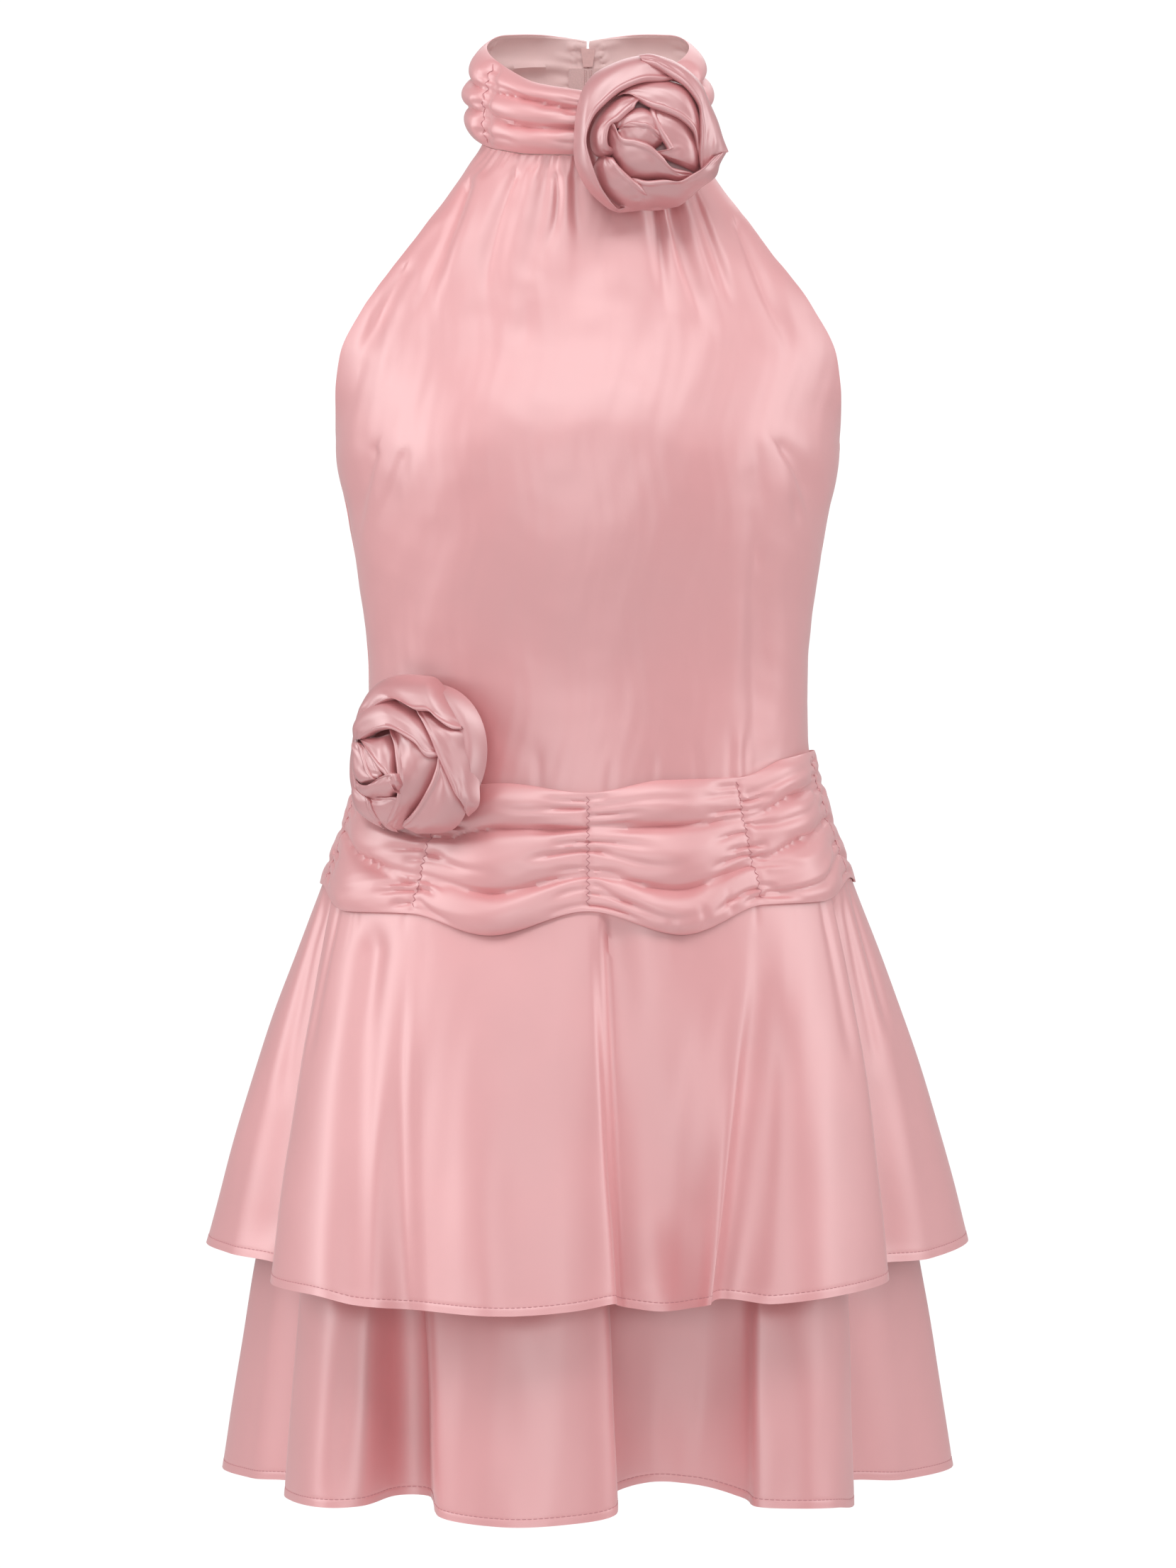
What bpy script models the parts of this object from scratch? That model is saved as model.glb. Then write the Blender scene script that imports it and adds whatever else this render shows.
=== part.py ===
"""Sleeveless halter-neck evening dress in satin, held in its hollow worn form.

Metres, +Z up, the front faces -Y. The origin is the centre of the neck ring at the collar seam.
Angles run round the dress from the centre front: 90 degrees is +X, the wearer's left side.
"""

import math
from collections import namedtuple

import bmesh
import bpy
from mathutils import Vector

# Cloth
WALL = 0.0015
SEAM_GAP = 0.0004

# Heights that the pieces share
UNDERARM_Z = -0.182
TUCK = 0.008
BACK_GAP_HALF = 0.0008

# Outer body of the dress: half width, and depth in front of and behind the side seams
Body = namedtuple("Body", "z half_width front back")
BODY = (
    Body(0.015, 0.0602, 0.0568, 0.0560),
    Body(0.000, 0.0617, 0.0590, 0.0572),
    Body(-0.015, 0.0700, 0.0618, 0.0608),
    Body(-0.053, 0.0966, 0.0732, 0.0762),
    Body(-0.103, 0.1337, 0.0895, 0.0925),
    Body(-0.128, 0.1460, 0.1005, 0.0965),
    Body(-0.150, 0.1494, 0.1125, 0.0980),
    Body(-0.180, 0.1504, 0.1270, 0.0970),
    Body(-0.229, 0.1424, 0.1275, 0.0880),
    Body(-0.280, 0.1343, 0.1170, 0.0790),
    Body(-0.318, 0.1313, 0.1105, 0.0755),
    Body(-0.356, 0.1318, 0.1100, 0.0785),
    Body(-0.395, 0.1405, 0.1160, 0.0900),
    Body(-0.445, 0.1585, 0.1285, 0.1080),
    Body(-0.475, 0.1700, 0.1360, 0.1180),
)

# Armhole: depth of the front and back edges, how far the back edge draws in, and the arc of a section
Armhole = namedtuple("Armhole", "z front_edge back_edge draw_in arc")
ARMHOLE = (
    Armhole(0.020, 0.000, 0.000, 0.0000, 90.0),
    Armhole(0.000, 0.000, 0.000, 0.0000, 90.0),
    Armhole(-0.020, -0.009, 0.006, 0.0015, 84.0),
    Armhole(-0.055, -0.030, 0.019, 0.0035, 70.0),
    Armhole(-0.100, -0.040, 0.033, 0.0045, 62.0),
    Armhole(-0.145, -0.030, 0.027, 0.0030, 68.0),
    Armhole(-0.172, -0.011, 0.010, 0.0010, 84.0),
    Armhole(-0.182, 0.000, 0.000, 0.0000, 90.0),
    Armhole(-0.200, 0.000, 0.000, 0.0000, 90.0),
)

# Bust of the front panel, one soft fullness each side
BUST_X = 0.074
BUST_Z = -0.196
BUST_FULLNESS = 0.007
BUST_WIDTH = 0.042
BUST_HEIGHT = 0.050

# Gather folds below the collar: where each starts and ends, and its depth and width
Gather = namedtuple("Gather", "x_top z_top x_end z_end depth width")
FRONT_GATHERS = (
    Gather(-0.084, -0.050, -0.139, -0.140, 0.0026, 0.008),
    Gather(-0.060, -0.012, -0.113, -0.125, 0.0036, 0.009),
    Gather(-0.036, -0.012, -0.066, -0.150, 0.0040, 0.010),
    Gather(-0.022, -0.012, -0.033, -0.085, 0.0030, 0.006),
    Gather(-0.006, -0.012, -0.005, -0.100, 0.0026, 0.008),
    Gather(0.015, -0.012, 0.018, -0.115, 0.0032, 0.008),
    Gather(0.031, -0.012, 0.050, -0.105, 0.0036, 0.007),
    Gather(0.041, -0.012, 0.071, -0.125, 0.0042, 0.008),
    Gather(0.050, -0.012, 0.096, -0.135, 0.0036, 0.009),
    Gather(0.059, -0.012, 0.130, -0.150, 0.0036, 0.010),
)
BACK_GATHERS = (
    Gather(0.022, 0.008, 0.034, -0.085, 0.0022, 0.006),
    Gather(0.034, 0.006, 0.058, -0.110, 0.0028, 0.008),
    Gather(0.048, 0.003, 0.090, -0.100, 0.0026, 0.009),
)

# Collar: heights of its top and base seam, how far it swells and its puffs, by angle from the front
Collar = namedtuple("Collar", "deg top base swell puff")
COLLAR = (
    Collar(0.0, 0.0245, -0.0127, 0.0035, 0.0034),
    Collar(30.0, 0.0300, -0.0115, 0.0040, 0.0034),
    Collar(50.0, 0.0385, -0.0085, 0.0055, 0.0030),
    Collar(60.0, 0.0430, -0.0070, 0.0060, 0.0006),
    Collar(70.0, 0.0470, -0.0052, 0.0080, 0.0032),
    Collar(90.0, 0.0545, -0.0020, 0.0090, 0.0030),
    Collar(125.0, 0.0640, 0.0060, 0.0065, 0.0026),
    Collar(150.0, 0.0655, 0.0098, 0.0045, 0.0020),
    Collar(172.0, 0.0635, 0.0118, 0.0014, 0.0000),
    Collar(180.0, 0.0620, 0.0120, 0.0012, 0.0000),
)
COLLAR_TOP_HALF_WIDTH = 0.0600
COLLAR_TOP_FRONT = 0.0572
COLLAR_TOP_BACK = 0.0560
PUFFS = 3

# Waistband: top and bottom edges and the height of its puffs, by angle round the dress
Band = namedtuple("Band", "deg top bottom puff")
WAISTBAND = (
    Band(-180.0, -0.366, -0.4395, 0.0000),
    Band(-172.0, -0.366, -0.4395, 0.0006),
    Band(-150.0, -0.366, -0.4440, 0.0042),
    Band(-120.0, -0.367, -0.4370, 0.0004),
    Band(-100.0, -0.366, -0.4440, 0.0044),
    Band(-80.0, -0.370, -0.4425, 0.0006),
    Band(-60.0, -0.374, -0.4540, 0.0046),
    Band(-39.0, -0.379, -0.4520, 0.0004),
    Band(-20.0, -0.376, -0.4625, 0.0050),
    Band(0.0, -0.381, -0.4480, 0.0004),
    Band(19.0, -0.374, -0.4620, 0.0050),
    Band(39.0, -0.374, -0.4470, 0.0004),
    Band(58.0, -0.365, -0.4480, 0.0046),
    Band(78.0, -0.363, -0.4380, 0.0010),
    Band(96.0, -0.364, -0.4440, 0.0044),
    Band(120.0, -0.368, -0.4375, 0.0004),
    Band(150.0, -0.366, -0.4440, 0.0042),
    Band(172.0, -0.366, -0.4395, 0.0006),
    Band(180.0, -0.366, -0.4395, 0.0000),
)
BAND_STAND_TOP = 0.0030
BAND_STAND_BOTTOM = 0.0038
EDGE_SHARE = 0.10

# Skirt tiers: one row for each crest, valley and corner of the hem, and its angle at the waist seam
Hem = namedtuple("Hem", "deg x y z")
UPPER_HEM = (
    Hem(-88.0, -0.2302, 0.010, -0.6613),
    Hem(-80.0, -0.2130, -0.045, -0.6605),
    Hem(-71.0, -0.1835, -0.080, -0.6610),
    Hem(-64.0, -0.1830, -0.124, -0.6655),
    Hem(-57.0, -0.1550, -0.176, -0.6630),
    Hem(-47.0, -0.1240, -0.190, -0.6665),
    Hem(-38.5, -0.0975, -0.184, -0.6700),
    Hem(-21.0, -0.0555, -0.213, -0.6685),
    Hem(-7.0, -0.0118, -0.209, -0.6670),
    Hem(-0.5, 0.0140, -0.197, -0.6645),
    Hem(2.0, 0.0185, -0.176, -0.6690),
    Hem(11.0, 0.0405, -0.167, -0.6740),
    Hem(25.0, 0.0600, -0.174, -0.6705),
    Hem(34.5, 0.0700, -0.185, -0.6665),
    Hem(38.5, 0.0810, -0.172, -0.6655),
    Hem(45.0, 0.1065, -0.179, -0.6670),
    Hem(54.0, 0.1400, -0.164, -0.6660),
    Hem(62.0, 0.1735, -0.117, -0.6655),
    Hem(69.0, 0.1730, -0.081, -0.6610),
    Hem(79.0, 0.2035, -0.048, -0.6630),
    Hem(88.0, 0.2307, 0.010, -0.6613),
    Hem(101.0, 0.2110, 0.066, -0.6610),
    Hem(112.0, 0.1740, 0.087, -0.6630),
    Hem(121.0, 0.1690, 0.135, -0.6650),
    Hem(134.0, 0.1200, 0.180, -0.6665),
    Hem(147.0, 0.0830, 0.152, -0.6690),
    Hem(159.0, 0.0600, 0.178, -0.6690),
    Hem(172.0, 0.0180, 0.200, -0.6680),
    Hem(186.0, -0.0240, 0.192, -0.6685),
    Hem(197.0, -0.0520, 0.156, -0.6700),
    Hem(209.0, -0.0780, 0.174, -0.6690),
    Hem(222.0, -0.1190, 0.181, -0.6665),
    Hem(234.0, -0.1500, 0.143, -0.6650),
    Hem(244.0, -0.1610, 0.099, -0.6620),
    Hem(256.0, -0.2000, 0.079, -0.6610),
)
LOWER_HEM = (
    Hem(-88.0, -0.2215, 0.010, -0.7990),
    Hem(-80.0, -0.2010, -0.050, -0.7945),
    Hem(-71.0, -0.1775, -0.082, -0.7900),
    Hem(-65.0, -0.1765, -0.116, -0.7920),
    Hem(-57.0, -0.1560, -0.159, -0.7885),
    Hem(-47.0, -0.1300, -0.164, -0.7870),
    Hem(-41.0, -0.1070, -0.140, -0.7860),
    Hem(-38.0, -0.0905, -0.145, -0.7870),
    Hem(-35.0, -0.0830, -0.182, -0.7900),
    Hem(-20.0, -0.0475, -0.204, -0.7905),
    Hem(-6.0, -0.0118, -0.203, -0.7892),
    Hem(-0.5, 0.0150, -0.190, -0.7867),
    Hem(3.0, 0.0180, -0.152, -0.7828),
    Hem(11.0, 0.0392, -0.130, -0.7803),
    Hem(26.0, 0.0640, -0.131, -0.7815),
    Hem(34.0, 0.0890, -0.146, -0.7860),
    Hem(38.0, 0.0965, -0.166, -0.7870),
    Hem(46.0, 0.1230, -0.166, -0.7880),
    Hem(56.0, 0.1440, -0.147, -0.7915),
    Hem(63.0, 0.1545, -0.119, -0.7960),
    Hem(69.0, 0.1540, -0.085, -0.7895),
    Hem(79.0, 0.1880, -0.050, -0.7955),
    Hem(88.0, 0.2219, 0.010, -0.7994),
    Hem(100.0, 0.1990, 0.062, -0.7970),
    Hem(111.0, 0.1590, 0.078, -0.7920),
    Hem(120.0, 0.1560, 0.125, -0.7920),
    Hem(133.0, 0.1120, 0.166, -0.7890),
    Hem(146.0, 0.0800, 0.132, -0.7850),
    Hem(158.0, 0.0560, 0.160, -0.7880),
    Hem(172.0, 0.0160, 0.186, -0.7900),
    Hem(186.0, -0.0240, 0.172, -0.7890),
    Hem(196.0, -0.0480, 0.134, -0.7850),
    Hem(209.0, -0.0740, 0.158, -0.7880),
    Hem(222.0, -0.1120, 0.168, -0.7900),
    Hem(234.0, -0.1420, 0.130, -0.7920),
    Hem(245.0, -0.1540, 0.088, -0.7920),
    Hem(257.0, -0.1880, 0.072, -0.7960),
)

# Shape of a tier: mean size of its hem, distance inside the band and how fast it flares and folds
Tier = namedtuple("Tier", "hem half_width front back stand flare fold_power")
UPPER_TIER = Tier(UPPER_HEM, 0.214, 0.188, 0.172, 0.0012, 0.085, 1.30)
LOWER_TIER = Tier(LOWER_HEM, 0.198, 0.164, 0.150, -0.0008, 0.060, 1.15)
HEM_SPACING = 0.024
WAIST_TURN = 6.5

# Rosettes: centre of the back, direction it faces, size and turn of its petals
Rose = namedtuple("Rose", "centre facing_deg tilt_deg radius_x radius_z height turn")
NECK_ROSE = Rose((0.0356, -0.0698, -0.0045), 8.0, 7.0, 0.0450, 0.0460, 0.026, 0.0)
HIP_ROSE = Rose((-0.0925, -0.0945, -0.3607), -40.0, 8.0, 0.0500, 0.0465, 0.027, 2.1)
PETAL_TURNS = 2.6
PETAL_RIDGE = 0.0035
ROSE_BACK = 0.006
BUD_SHIFT = 0.05

# Zip down the centre back
TAPE_HALF_WIDTH = 0.012
TAPE_THICKNESS = 0.0010
TAPE_GAP = 0.0006
TAPE_TOP_Z = 0.0460
TAPE_BOTTOM_Z = -0.4270
SLIDER_Z = 0.0520
SLIDER_HALF_WIDTH = 0.0035
SLIDER_HALF_HEIGHT = 0.0045
SLIDER_THICKNESS = 0.0018
SLIDER_CLEARANCE = 0.0008
EAR_THICKNESS = 0.0006
PIN_RADIUS = 0.0006
EYE_INNER = 0.00095
EYE_OUTER = 0.00150
PULL_HALF_WIDTH = 0.0025
PULL_LENGTH = 0.0225
PIN_CLEARANCE = 0.0005

# Colours, linear
SATIN = (0.72, 0.36, 0.37)
SATIN_INSIDE = (0.58, 0.41, 0.39)
ZIP_TAPE = (0.66, 0.38, 0.38)
ZIP_METAL = (0.70, 0.42, 0.42)


# Curves through the tables

def read_rows(rows, key, value, at):
    """Height of a smooth curve through the rows' (key, value) points, held flat beyond both ends."""
    points = sorted((getattr(row, key), getattr(row, value)) for row in rows)
    if at <= points[0][0]:
        return points[0][1]
    if at >= points[-1][0]:
        return points[-1][1]
    last = len(points) - 1
    i = next(k for k in range(last) if at <= points[k + 1][0])
    x0, y0 = points[i]
    x1, y1 = points[i + 1]
    slope = (y1 - y0) / (x1 - x0)
    before = (y0 - points[i - 1][1]) / (x0 - points[i - 1][0]) if i > 0 else slope
    after = (points[i + 2][1] - y1) / (points[i + 2][0] - x1) if i + 1 < last else slope
    start = 0.0 if before * slope <= 0 else 2 * before * slope / (before + slope)
    end = 0.0 if after * slope <= 0 else 2 * after * slope / (after + slope)
    t = (at - x0) / (x1 - x0)
    return (
        y0
        + (x1 - x0) * start * t * (1 - t) ** 2
        + (y1 - y0) * t * t * (3 - 2 * t)
        - (x1 - x0) * end * t * t * (1 - t)
    )


def lerp(a, b, t):
    return a + (b - a) * t


def ease(t):
    t = min(1.0, max(0.0, t))
    return t * t * (3 - 2 * t)


def wrap_degrees(deg):
    return (deg + 180.0) % 360.0 - 180.0


# Outer body

def body_ring(deg, z, stand=0.0):
    """Point of the dress's outer body at this angle and height, moved out by stand."""
    half_width = read_rows(BODY, "z", "half_width", z)
    angle = math.radians(deg)
    side = "front" if math.cos(angle) > 0 else "back"
    depth = read_rows(BODY, "z", side, z)
    across = math.sin(angle)
    along = -math.cos(angle)
    out = Vector((across / half_width, along / depth, 0)).normalized()
    return Vector((half_width * across, depth * along, z)) + out * stand


def gather_depth(gathers, x, z):
    """How far the gather folds sink the cloth at this point."""
    depth = 0.0
    for fold in gathers:
        share = (fold.z_top - z) / (fold.z_top - fold.z_end)
        if share >= 1.0:
            continue
        share = max(0.0, share)
        centre = lerp(fold.x_top, fold.x_end, share**0.9)
        width = fold.width * lerp(0.55, 1.25, share)
        fade = ease(3.0 * share + 0.35) * (1 - share) ** 0.8
        depth += fold.depth * fade * math.exp(-(((x - centre) / width) ** 2))
    return depth


def bust_fullness(x, z):
    rise = math.exp(-(((z - BUST_Z) / BUST_HEIGHT) ** 2))
    return BUST_FULLNESS * rise * math.exp(-(((abs(x) - BUST_X) / BUST_WIDTH) ** 2))


def collar_seam_z(deg):
    return read_rows(COLLAR, "deg", "base", abs(wrap_degrees(deg)))


def band_top_z(deg):
    return read_rows(WAISTBAND, "deg", "top", wrap_degrees(deg))


def band_bottom_z(deg):
    return read_rows(WAISTBAND, "deg", "bottom", wrap_degrees(deg))


def panel_height(deg, v):
    """Height on a bodice panel: v is 0 at the collar seam, 0.5 at the underarm, 1 behind the waistband."""
    top = collar_seam_z(deg) - SEAM_GAP
    bottom = band_top_z(deg) - TUCK
    if v < 0.5:
        return lerp(top, UNDERARM_Z, 2 * v)
    return lerp(UNDERARM_Z, bottom, 2 * v - 1)


def front_surface(u, v):
    """Front panel: u runs from -1 at the right side seam or armhole to 1 at the left one."""
    z = panel_height(90.0 * u, v)
    half_width = read_rows(BODY, "z", "half_width", z)
    depth = read_rows(BODY, "z", "front", z)
    edge = read_rows(ARMHOLE, "z", "front_edge", z) - SEAM_GAP / 2
    arc = math.radians(read_rows(ARMHOLE, "z", "arc", z))
    x = half_width * math.sin(u * arc) / math.sin(arc)
    y = -depth + (depth + edge) * (1 - math.cos(u * arc)) / (1 - math.cos(arc))
    y += gather_depth(FRONT_GATHERS, x, z) * ease(4 * (1 - abs(u)) + 0.3)
    y -= bust_fullness(x, z) * ease(3 * (1 - abs(u)))
    return Vector((x, y, z))


def back_surface(u, v):
    """Left half of the back: u runs from 0 at the side seam or armhole to 1 at the centre back zip."""
    z = panel_height(lerp(90.0, 180.0, u), v)
    half_width = read_rows(BODY, "z", "half_width", z) - read_rows(ARMHOLE, "z", "draw_in", z)
    depth = read_rows(BODY, "z", "back", z)
    edge = read_rows(ARMHOLE, "z", "back_edge", z) + SEAM_GAP / 2
    arc = math.radians(read_rows(ARMHOLE, "z", "arc", z))
    turn = (1 - u) * arc
    x = max(BACK_GAP_HALF, half_width * math.sin(turn) / math.sin(arc))
    y = depth - (depth - edge) * (1 - math.cos(turn)) / (1 - math.cos(arc))
    y -= gather_depth(BACK_GATHERS, x, z) * ease(4 * u + 0.3)
    return Vector((x, y, z))


def collar_surface(deg, v):
    """Ruched collar: v is 0 at its top fold and 1 at the seam with the bodice."""
    angle = math.radians(deg)
    turn = abs(deg)
    top = read_rows(COLLAR, "deg", "top", turn)
    z = lerp(top, collar_seam_z(deg), v)
    base = body_ring(deg, collar_seam_z(deg))
    top_depth = COLLAR_TOP_FRONT if turn < 90 else COLLAR_TOP_BACK
    rim = Vector((COLLAR_TOP_HALF_WIDTH * math.sin(angle), -top_depth * math.cos(angle), top))
    out = Vector((math.sin(angle), -math.cos(angle), 0))
    swell = read_rows(COLLAR, "deg", "swell", turn) * max(0.0, math.sin(math.pi * v)) ** 0.8
    puff = read_rows(COLLAR, "deg", "puff", turn) * abs(math.sin(PUFFS * math.pi * v))
    point = rim.lerp(base, v)
    point.z = z
    return point + out * (swell + puff)


def band_surface(deg, v):
    """Ruched waistband: v is 0 at its top edge and 1 at its bottom edge."""
    z = lerp(band_top_z(deg), band_bottom_z(deg), v)
    inner_v = (v - EDGE_SHARE) / (1 - 2 * EDGE_SHARE)
    puff = 0.0
    if 0.0 < inner_v < 1.0:
        height = read_rows(WAISTBAND, "deg", "puff", deg)
        puff = height * abs(math.sin(PUFFS * math.pi * inner_v)) ** 0.8
    return body_ring(deg, z, lerp(BAND_STAND_TOP, BAND_STAND_BOTTOM, v) + puff)


# Skirt tiers

def spline(p0, p1, p2, p3, t):
    """Point on a rounded curve from p1 to p2."""
    start = (p2 - p0) * 0.5
    end = (p3 - p1) * 0.5
    span = (p2 - p1).length
    start = start * min(1.0, 1.3 * span / max(start.length, 1e-9))
    end = end * min(1.0, 1.3 * span / max(end.length, 1e-9))
    return (
        p1 * (1 + 2 * t) * (1 - t) ** 2
        + start * t * (1 - t) ** 2
        + p2 * t * t * (3 - 2 * t)
        - end * t * t * (1 - t)
    )


def hem_point(hem, s):
    """Angle at the waist seam and hem point, s rows along the hem table."""
    count = len(hem)
    i = int(math.floor(s))
    t = s - i
    rows = [hem[(i + k) % count] for k in (-1, 0, 1, 2)]
    points = [Vector((row.x, row.y, row.z)) for row in rows]
    start = rows[1].deg
    rise = (rows[2].deg - start) % 360.0
    return start + rise * t, spline(*points, t)


def hem_columns(hem, spacing, turn):
    """Places along the hem table: every row, and between them no step over spacing or turn degrees."""
    places = []
    for i in range(len(hem)):
        near, far = hem[i], hem[(i + 1) % len(hem)]
        length = math.hypot(far.x - near.x, far.y - near.y)
        parts = math.ceil(max(length / spacing, ((far.deg - near.deg) % 360.0) / turn))
        places += [i + k / parts for k in range(parts)]
    return places


def tier_surface(tier, s, v):
    """Tier of the skirt: v is -1 at its top edge, 0 at the bottom of the waistband and 1 at the hem."""
    deg, hem = hem_point(tier.hem, s)
    seam_z = band_bottom_z(deg)
    if v <= 0:
        return body_ring(deg, seam_z - TUCK * v, tier.stand)
    top = body_ring(deg, seam_z, tier.stand)
    angle = math.radians(deg)
    depth = tier.front if math.cos(angle) > 0 else tier.back
    cone = Vector((tier.half_width * math.sin(angle), -depth * math.cos(angle), hem.z))
    flare = v + tier.flare * math.sin(math.pi * v)
    point = top.lerp(cone, flare) + (hem - cone) * v**tier.fold_power
    point.z = lerp(seam_z, hem.z, v)
    return point


# Mesh building

def normal_at(surface, u, v, u_step, v_step):
    across = surface(u + u_step, v) - surface(u - u_step, v)
    down = surface(u, v + v_step) - surface(u, v - v_step)
    return down.cross(across).normalized()


def wall_grids(surface, us, vs, thickness, u_step=0.01, v_step=0.004, inside=0.0):
    """Outer and inner point grids of a wall, moved in by inside from the surface."""
    outer = []
    inner = []
    for v in vs:
        outer_row = []
        inner_row = []
        for u in us:
            point = surface(u, v)
            normal = normal_at(surface, u, v, u_step, v_step)
            outer_row.append(point - normal * inside)
            inner_row.append(point - normal * (inside + thickness))
        outer.append(outer_row)
        inner.append(inner_row)
    return outer, inner


def grid_faces(rows, columns, start, closed_round):
    """Triangles of a grid whose points are numbered row by row from start."""
    faces = []
    for i in range(rows - 1):
        for j in range(columns if closed_round else columns - 1):
            k = (j + 1) % columns
            a = start + i * columns + j
            b = start + (i + 1) * columns + j
            c = start + (i + 1) * columns + k
            d = start + i * columns + k
            faces += [(a, b, c), (a, c, d)]
    return faces


def rim_faces(near, far, closed_round):
    """Triangles between two lines of points with the same count."""
    faces = []
    for j in range(len(near) if closed_round else len(near) - 1):
        k = (j + 1) % len(near)
        faces += [(near[j], near[k], far[k]), (near[j], far[k], far[j])]
    return faces


def wall_mesh(outer, inner, closed_round):
    """Points and triangles of the closed wall between two grids."""
    rows = len(outer)
    columns = len(outer[0])
    offset = rows * columns
    points = [p for row in outer for p in row] + [p for row in inner for p in row]
    faces = grid_faces(rows, columns, 0, closed_round)
    faces += [face[::-1] for face in grid_faces(rows, columns, offset, closed_round)]
    edges = [range(columns), range(offset - columns, offset)]
    for edge in edges:
        near = list(edge)
        faces += rim_faces(near, [offset + p for p in near], closed_round)
    if not closed_round:
        for first in (0, columns - 1):
            near = [i * columns + first for i in range(rows)]
            faces += rim_faces(near, [offset + p for p in near], False)
    return points, faces


def make_object(name, points, faces, material, location=None):
    """Object with outward faces, shaded smooth but for its sharp edges."""
    origin = Vector(location) if location else Vector((0, 0, 0))
    mesh = bpy.data.meshes.new(name)
    mesh.from_pydata([p - origin for p in points], [], faces)
    shell = bmesh.new()
    shell.from_mesh(mesh)
    bmesh.ops.recalc_face_normals(shell, faces=shell.faces)
    shell.to_mesh(mesh)
    shell.free()
    mesh.shade_smooth()
    mesh.set_sharp_from_angle(angle=math.radians(50))
    mesh.materials.append(material)
    thing = bpy.data.objects.new(name, mesh)
    thing.location = origin
    bpy.context.scene.collection.objects.link(thing)
    return thing


def make_material(name, colour, roughness, metallic=0.0):
    material = bpy.data.materials.new(name)
    material.use_nodes = True
    shader = material.node_tree.nodes["Principled BSDF"]
    shader.inputs["Base Color"].default_value = (*colour, 1.0)
    shader.inputs["Roughness"].default_value = roughness
    shader.inputs["Metallic"].default_value = metallic
    return material


def spread(start, end, count):
    return [lerp(start, end, k / (count - 1)) for k in range(count)]


# Pieces of cloth

BACK_LEVELS = spread(0, 1, 17)


def add_front_panel(material):
    grids = wall_grids(front_surface, spread(-1, 1, 31), spread(0, 1, 19), WALL)
    make_object("front_panel", *wall_mesh(*grids, False), material)


def add_back_panels(material):
    outer, inner = wall_grids(back_surface, spread(0, 1, 13), BACK_LEVELS, WALL)
    for name, side in (("back_panel_left", 1), ("back_panel_right", -1)):
        grids = [
            [[Vector((side * p.x, p.y, p.z)) for p in row] for row in grid]
            for grid in (outer, inner)
        ]
        make_object(name, *wall_mesh(*grids, False), material)


def add_collar(material):
    end = 180.0 - math.degrees(math.asin(BACK_GAP_HALF / COLLAR_TOP_BACK))
    grids = wall_grids(collar_surface, spread(-end, end, 61), spread(0, 1, 7), WALL, u_step=0.5)
    make_object("collar", *wall_mesh(*grids, False), material)


def add_waistband(material):
    end = 180.0 - math.degrees(math.asin(BACK_GAP_HALF / 0.08))
    levels = [0.0, EDGE_SHARE]
    levels += [lerp(EDGE_SHARE, 1 - EDGE_SHARE, k / (2 * PUFFS)) for k in range(1, 2 * PUFFS)]
    levels += [1 - EDGE_SHARE, 1.0]
    grids = wall_grids(band_surface, spread(-end, end, 73), levels, WALL, u_step=0.5)
    make_object("waistband", *wall_mesh(*grids, False), material)


def draw_back(grid, distance):
    """Moves the two end columns of a point grid towards their neighbours, which leaves a seam gap."""
    for row in grid:
        first = (row[1] - row[0]).normalized() * distance
        last = (row[-2] - row[-1]).normalized() * distance
        row[0] = row[0] + first
        row[-1] = row[-1] + last


def add_tier(name, tier, levels, material):
    """Front and back of a tier, joined at the side seams, where the hem table reaches its two tips."""
    def surface(s, v):
        return tier_surface(tier, s, v)

    count = len(tier.hem)
    left_seam = next(i for i in range(count) if tier.hem[i].x == max(row.x for row in tier.hem))
    columns = hem_columns(tier.hem, HEM_SPACING, WAIST_TURN)
    for side, start, end in (("front", 0, left_seam), ("back", left_seam, count)):
        inner = [s for s in columns if start < s < end]
        grids = wall_grids(surface, [start, *inner, end], levels, WALL, u_step=0.05)
        draw_back(grids[0], SEAM_GAP / 2)
        draw_back(grids[1], SEAM_GAP / 2)
        make_object(f"{name}_{side}", *wall_mesh(*grids, False), material)


# Rosettes

def rose_point(rose, share, turn):
    """Point on the petals: share is 0 at the bud and 1 at the rim."""
    phase = PETAL_TURNS * share - turn / (2 * math.pi) + rose.turn
    ridge = PETAL_RIDGE * (abs(math.sin(math.pi * phase)) - 0.5) * ease(4 * share) * ease(5 * (1 - share))
    dome = rose.height * math.sqrt(max(0.0, 1 - (0.96 * share) ** 2.4))
    wave = 1 + 0.035 * math.sin(5 * turn + rose.turn) * share
    shift = BUD_SHIFT * (1 - share)
    x = rose.radius_x * (share * wave * math.cos(turn) - shift)
    z = rose.radius_z * (share * wave * math.sin(turn) - shift)
    return x, dome + ridge, z


def rose_frame(rose):
    """Directions of a rosette: across, out of its face and up."""
    facing = math.radians(rose.facing_deg)
    tilt = math.radians(rose.tilt_deg)
    out = Vector((math.sin(facing) * math.cos(tilt), -math.cos(facing) * math.cos(tilt), math.sin(tilt)))
    across = Vector((math.cos(facing), math.sin(facing), 0))
    return across, out, across.cross(-out).normalized()


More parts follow.
